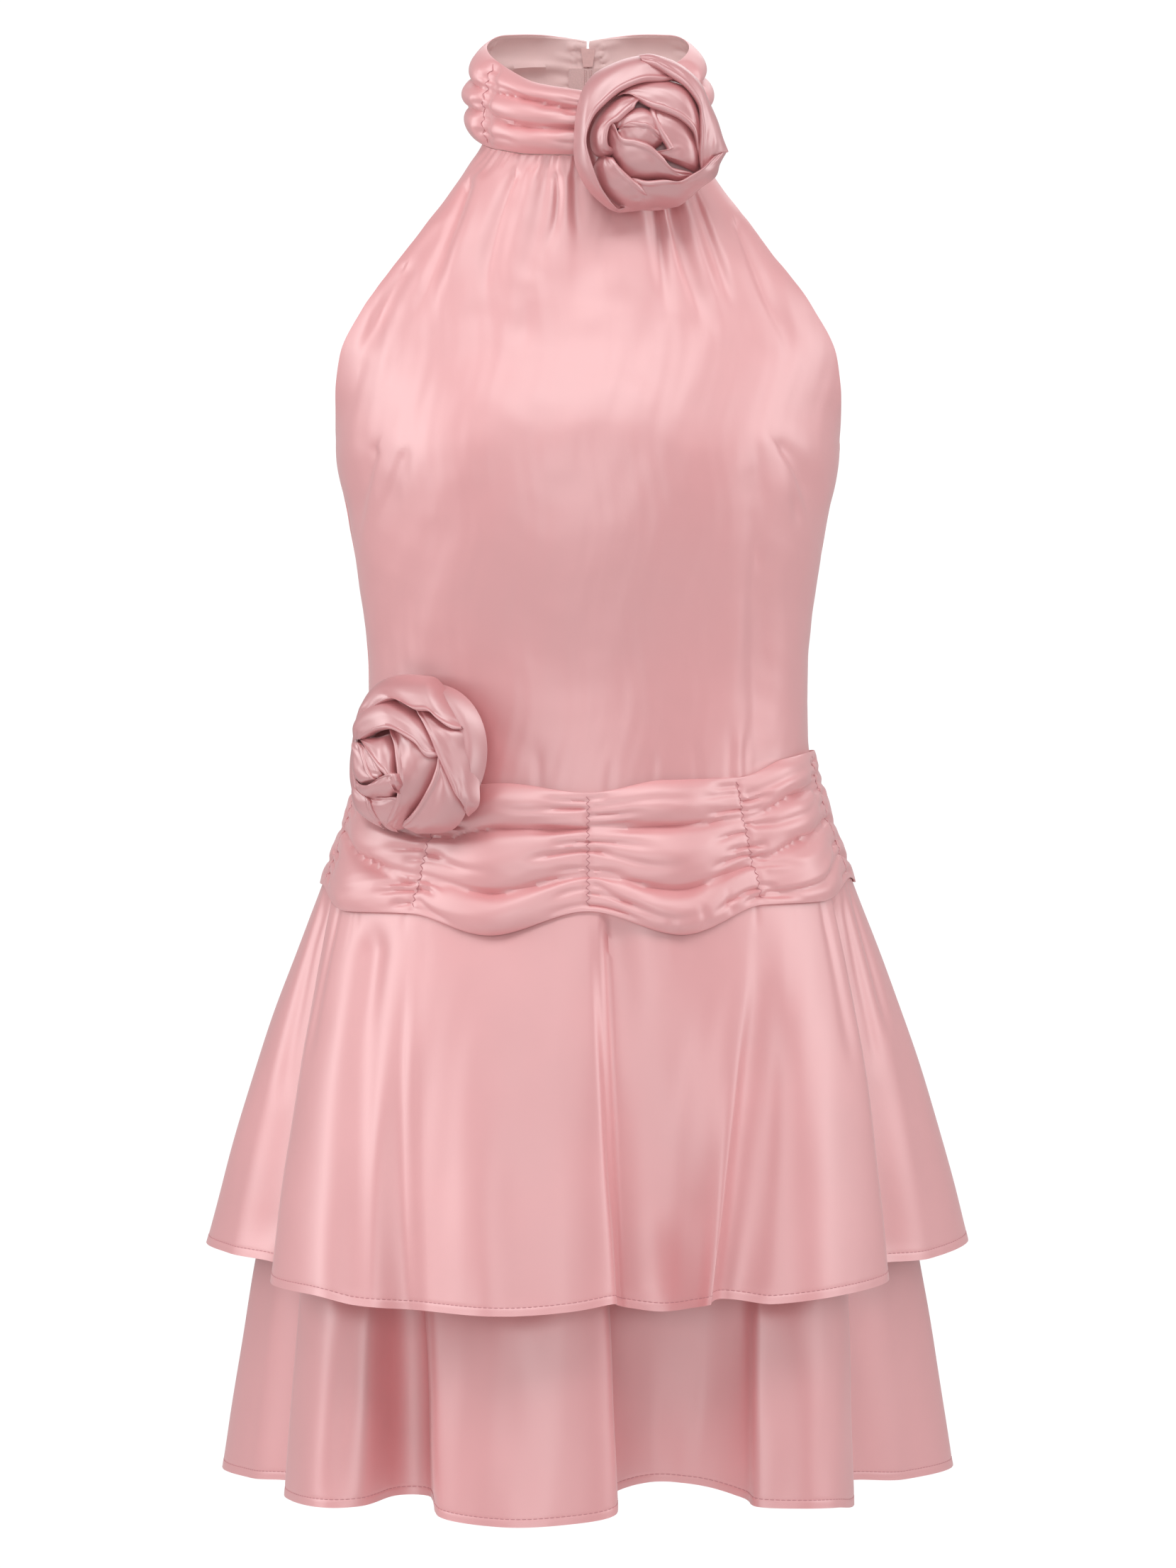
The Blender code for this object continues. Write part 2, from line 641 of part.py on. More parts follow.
def add_rose(name, rose, rings, segments, material):
    across, out, up = rose_frame(rose)
    centre = Vector(rose.centre)
    turns = [2 * math.pi * k / segments for k in range(segments)]
    points = []

    def place(x, depth, z):
        points.append(centre + across * x + out * depth + up * z)

    place(*rose_point(rose, 0.0, 0.0))
    for ring in range(1, rings + 1):
        for turn in turns:
            place(*rose_point(rose, ring / rings, turn))
    for turn in turns:
        x, _, z = rose_point(rose, 0.72, turn)
        place(x, -ROSE_BACK, z)
    place(0, -ROSE_BACK, 0)
    faces = [(0, 1 + (k + 1) % segments, 1 + k) for k in range(segments)]
    faces += grid_faces(rings + 1, segments, 1, True)
    last = 1 + rings * segments
    end = len(points) - 1
    faces += [(end, last + k, last + (k + 1) % segments) for k in range(segments)]
    make_object(name, points, faces, material)


# Zip

def centre_back(x, z):
    """Outer point of the dress near the centre back, on the collar or the panels below it."""
    if z > collar_seam_z(180):
        top = COLLAR[-1].top
        v = (top - z) / (top - COLLAR[-1].base)
        deg = 180 - math.degrees(math.asin(abs(x) / COLLAR_TOP_BACK))
        y = collar_surface(deg, v).y
    else:
        half_width = read_rows(BODY, "z", "half_width", z)
        y = read_rows(BODY, "z", "back", z) * math.sqrt(1 - (x / half_width) ** 2)
    return Vector((x, y, z))


def tape_surface(u, drop):
    """Outer surface of the dress over the tape, drop metres below the tape's top."""
    return centre_back(-TAPE_HALF_WIDTH * u, TAPE_TOP_Z - drop)


def add_zip_tape(material):
    collar_levels = spread(TAPE_TOP_Z, collar_seam_z(180) + 0.002, 5)
    panel_levels = [panel_height(180, v) for v in BACK_LEVELS]
    band_levels = spread(panel_levels[-1], TAPE_BOTTOM_Z, 4)[1:]
    drops = [TAPE_TOP_Z - z for z in collar_levels + panel_levels + band_levels]
    inside = WALL + TAPE_GAP
    grids = wall_grids(tape_surface, spread(-1, 1, 5), drops, TAPE_THICKNESS, 0.05, 0.001, inside)
    make_object("zip_tape", *wall_mesh(*grids, False), material)


def box(name, low, high):
    """Box between two corners, as points and faces."""
    mesh = bmesh.new()
    bmesh.ops.create_cube(mesh, size=1.0)
    for vert in mesh.verts:
        vert.co = Vector(lerp(low[k], high[k], vert.co[k] + 0.5) for k in range(3))
    data = bpy.data.meshes.new(name)
    mesh.to_mesh(data)
    mesh.free()
    thing = bpy.data.objects.new(name, data)
    bpy.context.scene.collection.objects.link(thing)
    return thing


def pin_object(name, centre, half_length):
    mesh = bmesh.new()
    bmesh.ops.create_cone(
        mesh, cap_ends=True, segments=12, radius1=PIN_RADIUS, radius2=PIN_RADIUS, depth=2 * half_length
    )
    for vert in mesh.verts:
        vert.co = Vector((vert.co.z, vert.co.x, vert.co.y)) + centre
    data = bpy.data.meshes.new(name)
    bmesh.ops.recalc_face_normals(mesh, faces=mesh.faces)
    mesh.to_mesh(data)
    mesh.free()
    thing = bpy.data.objects.new(name, data)
    bpy.context.scene.collection.objects.link(thing)
    return thing


def join_helper(target, helper):
    """Adds a helper's volume to a target, and leaves the helper out of the build."""
    helper.hide_render = True
    helper.display_type = "WIRE"
    union = target.modifiers.new("add_" + helper.name, "BOOLEAN")
    union.operation = "UNION"
    union.object = helper


def slider_face_y():
    return centre_back(0, SLIDER_Z).y + SLIDER_CLEARANCE + SLIDER_THICKNESS


def pin_centre():
    return Vector((0, slider_face_y() + EYE_OUTER + PIN_CLEARANCE, SLIDER_Z + 0.001))


def add_slider(material):
    face = slider_face_y()
    low_z = SLIDER_Z - SLIDER_HALF_HEIGHT
    high_z = SLIDER_Z + SLIDER_HALF_HEIGHT
    inner = face - SLIDER_THICKNESS - SLIDER_CLEARANCE - WALL
    body = box(
        "zip_slider",
        (-SLIDER_HALF_WIDTH, face - SLIDER_THICKNESS, low_z),
        (SLIDER_HALF_WIDTH, face, high_z),
    )
    body.data.materials.append(material)
    pin = pin_centre()
    for side in (-1, 1):
        near = side * (SLIDER_HALF_WIDTH - EAR_THICKNESS)
        far = side * SLIDER_HALF_WIDTH
        ear = box(
            f"slider_ear_{side}",
            (min(near, far), face - 0.0005, pin.z - 0.0015),
            (max(near, far), pin.y + 0.0014, pin.z + 0.0015),
        )
        join_helper(body, ear)
    join_helper(body, pin_object("slider_pin", pin, SLIDER_HALF_WIDTH - 0.0002))
    neck = box("slider_neck", (-0.0004, inner - 0.0010, low_z + 0.001), (0.0004, face - 0.001, high_z - 0.001))
    join_helper(body, neck)
    plate = box("slider_plate", (-1, inner - 0.0018, low_z - 0.001), (1, inner - SLIDER_CLEARANCE, high_z + 0.001))
    for vert in plate.data.vertices:
        half = 0.0043 if vert.co.z > SLIDER_Z else 0.0028
        vert.co.x = math.copysign(half, vert.co.x)
    join_helper(body, plate)
    return body


def add_pull(material):
    """Pull tab: a plate under an eye that turns on the slider's pin, its origin on the pin's axis."""
    sides = 12
    turns = [2 * math.pi * (k + 0.5) / sides - math.pi / 2 for k in range(sides)]
    mesh = bmesh.new()
    loops = []
    for x in (-PULL_HALF_WIDTH, PULL_HALF_WIDTH):
        for radius in (EYE_OUTER, EYE_INNER):
            ring = [(x, radius * math.cos(turn), radius * math.sin(turn)) for turn in turns]
            loops.append([mesh.verts.new(point) for point in ring])
    outer_left, inner_left, outer_right, inner_right = loops
    bottom = None
    for k in range(sides):
        n = (k + 1) % sides
        mesh.faces.new((outer_left[k], outer_left[n], inner_left[n], inner_left[k]))
        mesh.faces.new((outer_right[n], outer_right[k], inner_right[k], inner_right[n]))
        mesh.faces.new((inner_left[k], inner_left[n], inner_right[n], inner_right[k]))
        face = mesh.faces.new((outer_left[n], outer_left[k], outer_right[k], outer_right[n]))
        if k == sides - 1:
            bottom = face
    moved = bmesh.ops.extrude_discrete_faces(mesh, faces=[bottom])["faces"][0]
    rim = list(moved.verts)
    for vert in rim:
        vert.co.z = -PULL_LENGTH
    bmesh.ops.recalc_face_normals(mesh, faces=mesh.faces)
    data = bpy.data.meshes.new("zip_pull")
    mesh.to_mesh(data)
    mesh.free()
    data.materials.append(material)
    pull = bpy.data.objects.new("zip_pull", data)
    pull.location = pin_centre()
    bpy.context.scene.collection.objects.link(pull)


def main():
    for thing in list(bpy.data.objects):
        bpy.data.objects.remove(thing, do_unlink=True)
    satin = make_material("satin", SATIN, 0.32)
    rose_satin = make_material("rose_satin", SATIN, 0.34)
    tape = make_material("zip_tape", ZIP_TAPE, 0.6)
    metal = make_material("zip_metal", ZIP_METAL, 0.35, 0.2)
    add_front_panel(satin)
    add_back_panels(satin)
    add_collar(satin)
    add_waistband(satin)
    add_tier("skirt_upper", UPPER_TIER, [-1, 0, 0.07, 0.18, 0.34, 0.54, 0.77, 1], satin)
    add_tier("skirt_lower", LOWER_TIER, [-1, 0, 0.14, 0.34, 0.56, 0.78, 1], satin)
    add_rose("neck_rose", NECK_ROSE, 9, 36, rose_satin)
    add_rose("hip_rose", HIP_ROSE, 9, 36, rose_satin)
    add_zip_tape(tape)
    add_slider(metal)
    add_pull(metal)


main()
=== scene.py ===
"""Looks of the satin halter dress: cloth shells, rolled rosettes, zip, stitching, floor, lights and camera.

Metres, in the frame of the CAD model: +Z up, the front faces -Y, the wearer's left is +X.
"""

import math
from collections import namedtuple

import bpy
import numpy as np
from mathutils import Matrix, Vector


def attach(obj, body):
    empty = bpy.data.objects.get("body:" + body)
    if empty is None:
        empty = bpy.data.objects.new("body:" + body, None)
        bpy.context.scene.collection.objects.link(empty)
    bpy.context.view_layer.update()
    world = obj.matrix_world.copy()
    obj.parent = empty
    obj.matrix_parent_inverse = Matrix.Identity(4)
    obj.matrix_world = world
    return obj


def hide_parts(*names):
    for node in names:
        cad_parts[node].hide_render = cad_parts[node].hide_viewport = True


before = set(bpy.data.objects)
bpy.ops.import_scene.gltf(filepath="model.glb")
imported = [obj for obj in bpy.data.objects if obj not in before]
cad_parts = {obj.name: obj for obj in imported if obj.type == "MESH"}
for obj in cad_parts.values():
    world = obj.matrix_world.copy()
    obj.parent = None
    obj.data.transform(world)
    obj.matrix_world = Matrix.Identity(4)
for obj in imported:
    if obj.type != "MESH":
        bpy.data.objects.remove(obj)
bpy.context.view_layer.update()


def table(columns, *rows):
    """Rows of a table with these named columns."""
    return tuple(columns(*row) for row in rows)


# Cloth
CLOTH = 0.0009
SEAM_GAP = 0.0004
UNDERARM_Z = -0.182
TUCK = 0.008
BACK_GAP_HALF = 0.0008
MM = 0.001

# Outer body of the dress: half width, and depth in front of and behind the side seams
Body = namedtuple("Body", "z half_width front back")
BODY = table(
    Body,
    (0.015, 0.0602, 0.0568, 0.0560),
    (0.000, 0.0617, 0.0590, 0.0572),
    (-0.015, 0.0700, 0.0618, 0.0608),
    (-0.053, 0.0966, 0.0732, 0.0762),
    (-0.103, 0.1337, 0.0895, 0.0925),
    (-0.128, 0.1460, 0.1005, 0.0965),
    (-0.150, 0.1494, 0.1125, 0.0980),
    (-0.180, 0.1504, 0.1270, 0.0970),
    (-0.229, 0.1424, 0.1275, 0.0880),
    (-0.280, 0.1343, 0.1170, 0.0790),
    (-0.318, 0.1313, 0.1105, 0.0755),
    (-0.356, 0.1318, 0.1100, 0.0785),
    (-0.395, 0.1405, 0.1160, 0.0900),
    (-0.445, 0.1585, 0.1285, 0.1080),
    (-0.475, 0.1700, 0.1360, 0.1180),
)
Armhole = namedtuple("Armhole", "z front_edge back_edge draw_in arc")
ARMHOLE = table(
    Armhole,
    (0.020, 0.000, 0.000, 0.0000, 90.0),
    (0.000, 0.000, 0.000, 0.0000, 90.0),
    (-0.020, -0.009, 0.006, 0.0015, 84.0),
    (-0.055, -0.030, 0.019, 0.0035, 70.0),
    (-0.100, -0.040, 0.033, 0.0045, 62.0),
    (-0.145, -0.030, 0.027, 0.0030, 68.0),
    (-0.172, -0.011, 0.010, 0.0010, 84.0),
    (-0.182, 0.000, 0.000, 0.0000, 90.0),
    (-0.200, 0.000, 0.000, 0.0000, 90.0),
)
BUST_X = 0.074
BUST_Z = -0.196
BUST_FULLNESS = 0.0045
BUST_WIDTH = 0.042
BUST_HEIGHT = 0.050
BUST_SOFTNESS = 0.014
Gather = namedtuple("Gather", "x_top z_top x_end z_end depth width")
FRONT_GATHERS = table(
    Gather,
    (-0.084, -0.050, -0.139, -0.140, 0.0026, 0.008),
    (-0.060, -0.012, -0.113, -0.125, 0.0036, 0.009),
    (-0.036, -0.012, -0.066, -0.150, 0.0040, 0.010),
    (-0.022, -0.012, -0.033, -0.085, 0.0030, 0.006),
    (-0.006, -0.012, -0.005, -0.100, 0.0026, 0.008),
    (0.015, -0.012, 0.018, -0.115, 0.0032, 0.008),
    (0.031, -0.012, 0.050, -0.105, 0.0036, 0.007),
    (0.041, -0.012, 0.071, -0.125, 0.0042, 0.008),
    (0.050, -0.012, 0.096, -0.135, 0.0036, 0.009),
    (0.059, -0.012, 0.130, -0.150, 0.0036, 0.010),
)
BACK_GATHERS = table(
    Gather,
    (0.022, 0.008, 0.034, -0.085, 0.0022, 0.006),
    (0.034, 0.006, 0.058, -0.110, 0.0028, 0.008),
    (0.048, 0.003, 0.090, -0.100, 0.0026, 0.009),
)
Collar = namedtuple("Collar", "deg top base swell puff")
COLLAR = table(
    Collar,
    (0.0, 0.0245, -0.0127, 0.0035, 0.0034),
    (30.0, 0.0300, -0.0115, 0.0040, 0.0034),
    (50.0, 0.0385, -0.0085, 0.0055, 0.0030),
    (60.0, 0.0430, -0.0070, 0.0060, 0.0006),
    (70.0, 0.0470, -0.0052, 0.0080, 0.0032),
    (90.0, 0.0545, -0.0020, 0.0090, 0.0030),
    (125.0, 0.0640, 0.0060, 0.0065, 0.0026),
    (150.0, 0.0655, 0.0098, 0.0045, 0.0020),
    (172.0, 0.0635, 0.0118, 0.0014, 0.0000),
    (180.0, 0.0620, 0.0120, 0.0012, 0.0000),
)
COLLAR_TOP_HALF_WIDTH = 0.0600
COLLAR_TOP_FRONT = 0.0572
COLLAR_TOP_BACK = 0.0560
Band = namedtuple("Band", "deg top bottom puff")
WAISTBAND = table(
    Band,
    (-180.0, -0.366, -0.4395, 0.0000),
    (-172.0, -0.366, -0.4395, 0.0006),
    (-150.0, -0.366, -0.4440, 0.0042),
    (-120.0, -0.367, -0.4370, 0.0004),
    (-100.0, -0.366, -0.4440, 0.0044),
    (-80.0, -0.370, -0.4425, 0.0006),
    (-60.0, -0.374, -0.4540, 0.0046),
    (-39.0, -0.379, -0.4520, 0.0004),
    (-20.0, -0.376, -0.4625, 0.0050),
    (0.0, -0.381, -0.4480, 0.0004),
    (19.0, -0.374, -0.4620, 0.0050),
    (39.0, -0.374, -0.4470, 0.0004),
    (58.0, -0.365, -0.4480, 0.0046),
    (78.0, -0.363, -0.4380, 0.0010),
    (96.0, -0.364, -0.4440, 0.0044),
    (120.0, -0.368, -0.4375, 0.0004),
    (150.0, -0.366, -0.4440, 0.0042),
    (172.0, -0.366, -0.4395, 0.0006),
    (180.0, -0.366, -0.4395, 0.0000),
)
PUFF_DROOP = 0.80
PUFF_FULLNESS = 0.70
PUFF_HEIGHT = 1.65
PUFF_SAG = 0.20
SIDE_FLATNESS = 0.80
BAND_STAND_TOP = 0.0030
BAND_STAND_BOTTOM = 0.0031

# Skirt tiers: one row for each crest, valley and corner of the hem, and its angle at the waist seam
Hem = namedtuple("Hem", "deg x y z")
UPPER_HEM = table(
    Hem,
    (-88.0, -0.2302, 0.010, -0.6613),
    (-80.0, -0.2130, -0.045, -0.6605),
    (-71.0, -0.1835, -0.080, -0.6610),
    (-64.0, -0.1830, -0.124, -0.6655),
    (-57.0, -0.1550, -0.176, -0.6630),
    (-47.0, -0.1240, -0.190, -0.6665),
    (-38.5, -0.0975, -0.184, -0.6700),
    (-21.0, -0.0555, -0.213, -0.6685),
    (-7.0, -0.0118, -0.209, -0.6670),
    (-0.5, 0.0140, -0.197, -0.6645),
    (2.0, 0.0185, -0.176, -0.6690),
    (11.0, 0.0405, -0.167, -0.6740),
    (25.0, 0.0600, -0.174, -0.6705),
    (34.5, 0.0700, -0.185, -0.6665),
    (38.5, 0.0810, -0.172, -0.6655),
    (45.0, 0.1065, -0.179, -0.6670),
    (54.0, 0.1400, -0.164, -0.6660),
    (62.0, 0.1735, -0.117, -0.6655),
    (69.0, 0.1730, -0.081, -0.6610),
    (79.0, 0.2035, -0.048, -0.6630),
    (88.0, 0.2307, 0.010, -0.6613),
    (101.0, 0.2110, 0.066, -0.6610),
    (112.0, 0.1740, 0.087, -0.6630),
    (121.0, 0.1690, 0.135, -0.6650),
    (134.0, 0.1200, 0.180, -0.6665),
    (147.0, 0.0830, 0.152, -0.6690),
    (159.0, 0.0600, 0.178, -0.6690),
    (172.0, 0.0180, 0.200, -0.6680),
    (186.0, -0.0240, 0.192, -0.6685),
    (197.0, -0.0520, 0.156, -0.6700),
    (209.0, -0.0780, 0.174, -0.6690),
    (222.0, -0.1190, 0.181, -0.6665),
    (234.0, -0.1500, 0.143, -0.6650),
    (244.0, -0.1610, 0.099, -0.6620),
    (256.0, -0.2000, 0.079, -0.6610),
)
LOWER_HEM = table(
    Hem,
    (-88.0, -0.2215, 0.010, -0.7990),
    (-80.0, -0.2010, -0.050, -0.7945),
    (-71.0, -0.1775, -0.082, -0.7900),
    (-65.0, -0.1765, -0.116, -0.7920),
    (-57.0, -0.1560, -0.159, -0.7885),
    (-47.0, -0.1300, -0.164, -0.7870),
    (-41.0, -0.1070, -0.140, -0.7860),
    (-38.0, -0.0905, -0.145, -0.7870),
    (-35.0, -0.0830, -0.182, -0.7900),
    (-20.0, -0.0475, -0.204, -0.7905),
    (-6.0, -0.0118, -0.203, -0.7892),
    (-0.5, 0.0150, -0.190, -0.7867),
    (3.0, 0.0180, -0.152, -0.7828),
    (11.0, 0.0392, -0.130, -0.7803),
    (26.0, 0.0640, -0.131, -0.7815),
    (34.0, 0.0890, -0.146, -0.7860),
    (38.0, 0.0965, -0.166, -0.7870),
    (46.0, 0.1230, -0.166, -0.7880),
    (56.0, 0.1440, -0.147, -0.7915),
    (63.0, 0.1545, -0.119, -0.7960),
    (69.0, 0.1540, -0.085, -0.7895),
    (79.0, 0.1880, -0.050, -0.7955),
    (88.0, 0.2219, 0.010, -0.7994),
    (100.0, 0.1990, 0.062, -0.7970),
    (111.0, 0.1590, 0.078, -0.7920),
    (120.0, 0.1560, 0.125, -0.7920),
    (133.0, 0.1120, 0.166, -0.7890),
    (146.0, 0.0800, 0.132, -0.7850),
    (158.0, 0.0560, 0.160, -0.7880),
    (172.0, 0.0160, 0.186, -0.7900),
    (186.0, -0.0240, 0.172, -0.7890),
    (196.0, -0.0480, 0.134, -0.7850),
    (209.0, -0.0740, 0.158, -0.7880),
    (222.0, -0.1120, 0.168, -0.7900),
    (234.0, -0.1420, 0.130, -0.7920),
    (245.0, -0.1540, 0.088, -0.7920),
    (257.0, -0.1880, 0.072, -0.7960),
)

# Shape of a tier: mean size of its hem, how far its top stands off the body, how much it bulges and how
# its folds set in
Tier = namedtuple("Tier", "hem half_width front back stand flare fold_power")
UPPER_TIER = Tier(UPPER_HEM, 0.214, 0.188, 0.172, 0.0012, 0.085, 1.05)
LOWER_TIER = Tier(LOWER_HEM, 0.198, 0.164, 0.150, -0.0008, 0.060, 1.00)

# Creases: a curve through three places on a flat layout in millimetres, its depth (negative sinks), its
# width at both ends, how strong it is at both ends, and how far it leans to one side
Crease = namedtuple("Crease", "a0 b0 a1 b1 a2 b2 depth near far start end lean", defaults=(1.0, 0.0, 0.0))

# Front panel, across and up from the neck's centre
FRONT_CREASES = table(
    Crease,
    (-72, -30, -87, -71, -107, -122, -2.1, 2.6, 5.0, 1.0, 0.1, 0.3),
    (-64, -26, -76, -66, -92, -112, 1.7, 4.0, 6.0, 0.8, 0.1),
    (-109, -79, -124, -107, -133, -132, -2.0, 3.0, 5.0, 0.7, 0.1, 0.4),
    (-43, -24, -56, -65, -62, -104, -1.7, 2.4, 5.0, 1.0, 0.1, -0.3),
    (-33, -24, -43, -62, -49, -98, 1.3, 4.0, 6.0, 0.8, 0.1),
    (-19, -26, -19, -49, -25, -70, -1.9, 2.0, 3.5, 1.0, 0.1, 0.3),
    (-35, -94, -36, -112, -37, -130, -1.3, 4.5, 6.5, 0.3, 0.1),
    (-8, -26, -7, -48, -6, -66, -1.3, 2.2, 3.5, 0.9, 0.1),
    (5, -28, 4, -72, 0, -112, -1.7, 8.0, 11.0, 0.5, 0.1),
    (15, -32, 18, -70, 21, -100, 1.1, 5.0, 7.0, 0.6, 0.1),
    (39, -30, 43, -72, 45, -106, -2.1, 2.6, 4.5, 1.0, 0.1, -0.3),
    (46, -28, 56, -76, 69, -113, -1.9, 2.4, 4.5, 1.0, 0.1, 0.3),
    (54, -30, 66, -74, 79, -112, 1.5, 3.0, 5.0, 0.8, 0.1),
    (61, -26, 75, -72, 87, -109, -1.7, 2.4, 4.0, 1.0, 0.1, -0.3),
    (88, -53, 104, -93, 121, -130, -1.5, 2.6, 4.5, 0.9, 0.1, 0.3),
    (113, -184, 125, -202, 135, -233, -2.0, 3.0, 7.0, 1.0, 0.1, 0.5),
    (104, -180, 112, -204, 118, -238, 1.2, 5.0, 8.0, 0.6, 0.1),
    (-125, -186, -133, -212, -138, -238, -1.8, 3.2, 6.0, 1.0, 0.1, -0.4),
    (-108, -188, -116, -210, -125, -232, -1.4, 3.4, 5.0, 0.7, 0.2, 0.4),
    (-92, -232, -111, -279, -126, -320, -1.6, 8.0, 9.0, 0.3, 0.2, 0.3),
    (-74, -232, -92, -282, -112, -330, 1.0, 9.0, 9.0, 0.2, 0.1),
    (-62, -196, -28, -291, 0, -379, -0.6, 9.0, 11.0, 0.3, 0.3),
    (97, -200, 99, -282, 100, -379, -2.2, 6.5, 7.5, 0.2, 0.9, 0.3),
    (84, -210, 85, -290, 87, -370, 1.0, 6.0, 7.0, 0.2, 0.5),
    (94, -223, 99, -243, 103, -262, -0.8, 2.0, 2.6, 0.3, 0.1, 0.3),
    (118, -209, 121, -219, 125, -230, -0.7, 1.8, 2.4, 0.3, 0.1),
    (110, -240, 112, -290, 110, -350, 0.8, 5.0, 6.0, 0.2, 0.4),
    (83, -340, 83, -359, 83, -380, -0.7, 2.0, 2.2, 0.1, 1.0),
    (93, -342, 93, -361, 93, -380, -0.8, 2.0, 2.2, 0.1, 1.0),
    (62, -350, 63, -364, 63, -382, -0.5, 2.0, 2.4, 0.1, 1.0),
    (38, -356, 38, -368, 37, -384, -0.5, 2.0, 2.4, 0.1, 1.0),
    (14, -360, 13, -370, 12, -386, -0.4, 2.0, 2.4, 0.1, 1.0),
    (-30, -352, -29, -366, -28, -384, -0.5, 2.2, 2.6, 0.1, 1.0),
    (-120, -140, -60, -152, 20, -150, 0.7, 10.0, 14.0, 0.4, 0.6),
    (20, -150, 80, -146, 128, -134, 0.6, 14.0, 10.0, 0.6, 0.4),
)

# Left half of the back, across from the zip and up; the right half takes its own rows
BACK_LEFT_CREASES = table(
    Crease,
    (24, 4, 32, -38, 40, -82, -0.8, 2.4, 4.5, 1.0, 0.1, 0.3),
    (40, 0, 56, -44, 74, -88, -0.9, 2.6, 5.0, 1.0, 0.1),
    (118, -184, 110, -214, 96, -250, -1.5, 3.2, 7.0, 1.0, 0.1, 0.4),
    (130, -196, 126, -228, 116, -262, -1.1, 3.0, 5.5, 0.9, 0.1),
    (30, -120, 34, -170, 36, -224, -0.7, 8.0, 10.0, 0.2, 0.2),
    (14, -236, 40, -262, 70, -270, -1.1, 4.5, 8.0, 0.9, 0.1, 0.3),
    (10, -290, 36, -308, 68, -306, -1.0, 4.5, 8.0, 0.9, 0.1),
    (86, -300, 88, -336, 90, -372, -1.2, 5.5, 6.0, 0.2, 0.9),
    (50, -344, 51, -358, 52, -374, -0.5, 2.2, 2.6, 0.1, 1.0),
    (28, -348, 28, -360, 27, -374, -0.5, 2.2, 2.6, 0.1, 1.0),
)
BACK_RIGHT_CREASES = table(
    Crease,
    (20, 5, 27, -32, 33, -74, -0.8, 2.4, 4.5, 1.0, 0.1, -0.3),
    (36, 1, 50, -40, 70, -84, -1.0, 2.6, 5.0, 1.0, 0.1),
    (52, -3, 70, -36, 92, -70, -0.7, 2.4, 4.5, 1.0, 0.1),
    (122, -186, 112, -220, 102, -256, -1.6, 3.2, 7.0, 1.0, 0.1, 0.4),
    (40, -130, 42, -176, 40, -230, -0.7, 8.0, 10.0, 0.2, 0.2),
    (12, -252, 34, -276, 62, -290, -1.1, 4.5, 8.0, 0.9, 0.1, 0.3),
    (10, -316, 30, -328, 58, -330, -0.9, 4.5, 7.0, 0.9, 0.1),
    (96, -306, 96, -338, 97, -372, -1.2, 5.5, 6.0, 0.2, 0.9),
    (64, -346, 64, -360, 65, -374, -0.5, 2.2, 2.6, 0.1, 1.0),
)

# Valleys between the puffs of the ruched bands, as shares of their height, by angle
Valley = namedtuple("Valley", "deg first second")
COLLAR_VALLEYS = table(
    Valley,
    (-180.0, 0.34, 0.66),
    (-95.0, 0.33, 0.62),
    (-62.0, 0.34, 0.60),
    (-32.0, 0.25, 0.62),
    (-2.0, 0.31, 0.60),
    (25.0, 0.30, 0.66),
    (60.0, 0.35, 0.62),
    (95.0, 0.31, 0.66),
    (180.0, 0.34, 0.66),
)
BAND_VALLEYS = table(
    Valley,
    (-180.0, 0.34, 0.67),
    (-118.0, 0.33, 0.64),
    (-80.0, 0.26, 0.55),
    (-60.0, 0.32, 0.60),
    (-39.0, 0.40, 0.70),
    (-20.0, 0.30, 0.72),
    (0.0, 0.30, 0.68),
    (19.0, 0.30, 0.71),
    (39.0, 0.32, 0.66),
    (58.0, 0.25, 0.55),
    (78.0, 0.24, 0.53),
    (120.0, 0.32, 0.66),
    (180.0, 0.34, 0.67),
)

# Small creases on the bands: millimetres round from the centre front, and below the top edge
COLLAR_ARC = 64.0
BAND_ARC = 125.0
COLLAR_CREASES = table(
    Crease,
    (-60, 9, -45, 8, -24, 10, -0.6, 1.6, 2.2, 0.8, 0.1),
    (-58, 22, -44, 24, -30, 22, -0.5, 1.6, 2.0, 0.8, 0.1),
    (-60, 34, -46, 33, -36, 35, -0.5, 1.4, 2.0, 0.8, 0.1),
    (-20, 31, -12, 32, -4, 31, -0.6, 1.4, 1.8, 0.2, 0.9),
    (-110, 12, -130, 14, -160, 12, -0.5, 2.0, 3.0, 0.7, 0.1),
    (-110, 36, -135, 38, -165, 36, -0.5, 2.0, 3.0, 0.7, 0.1),
    (108, 14, 130, 12, 162, 14, -0.5, 2.0, 3.0, 0.7, 0.1),
    (106, 38, 132, 36, 160, 38, -0.5, 2.0, 3.0, 0.7, 0.1),
)
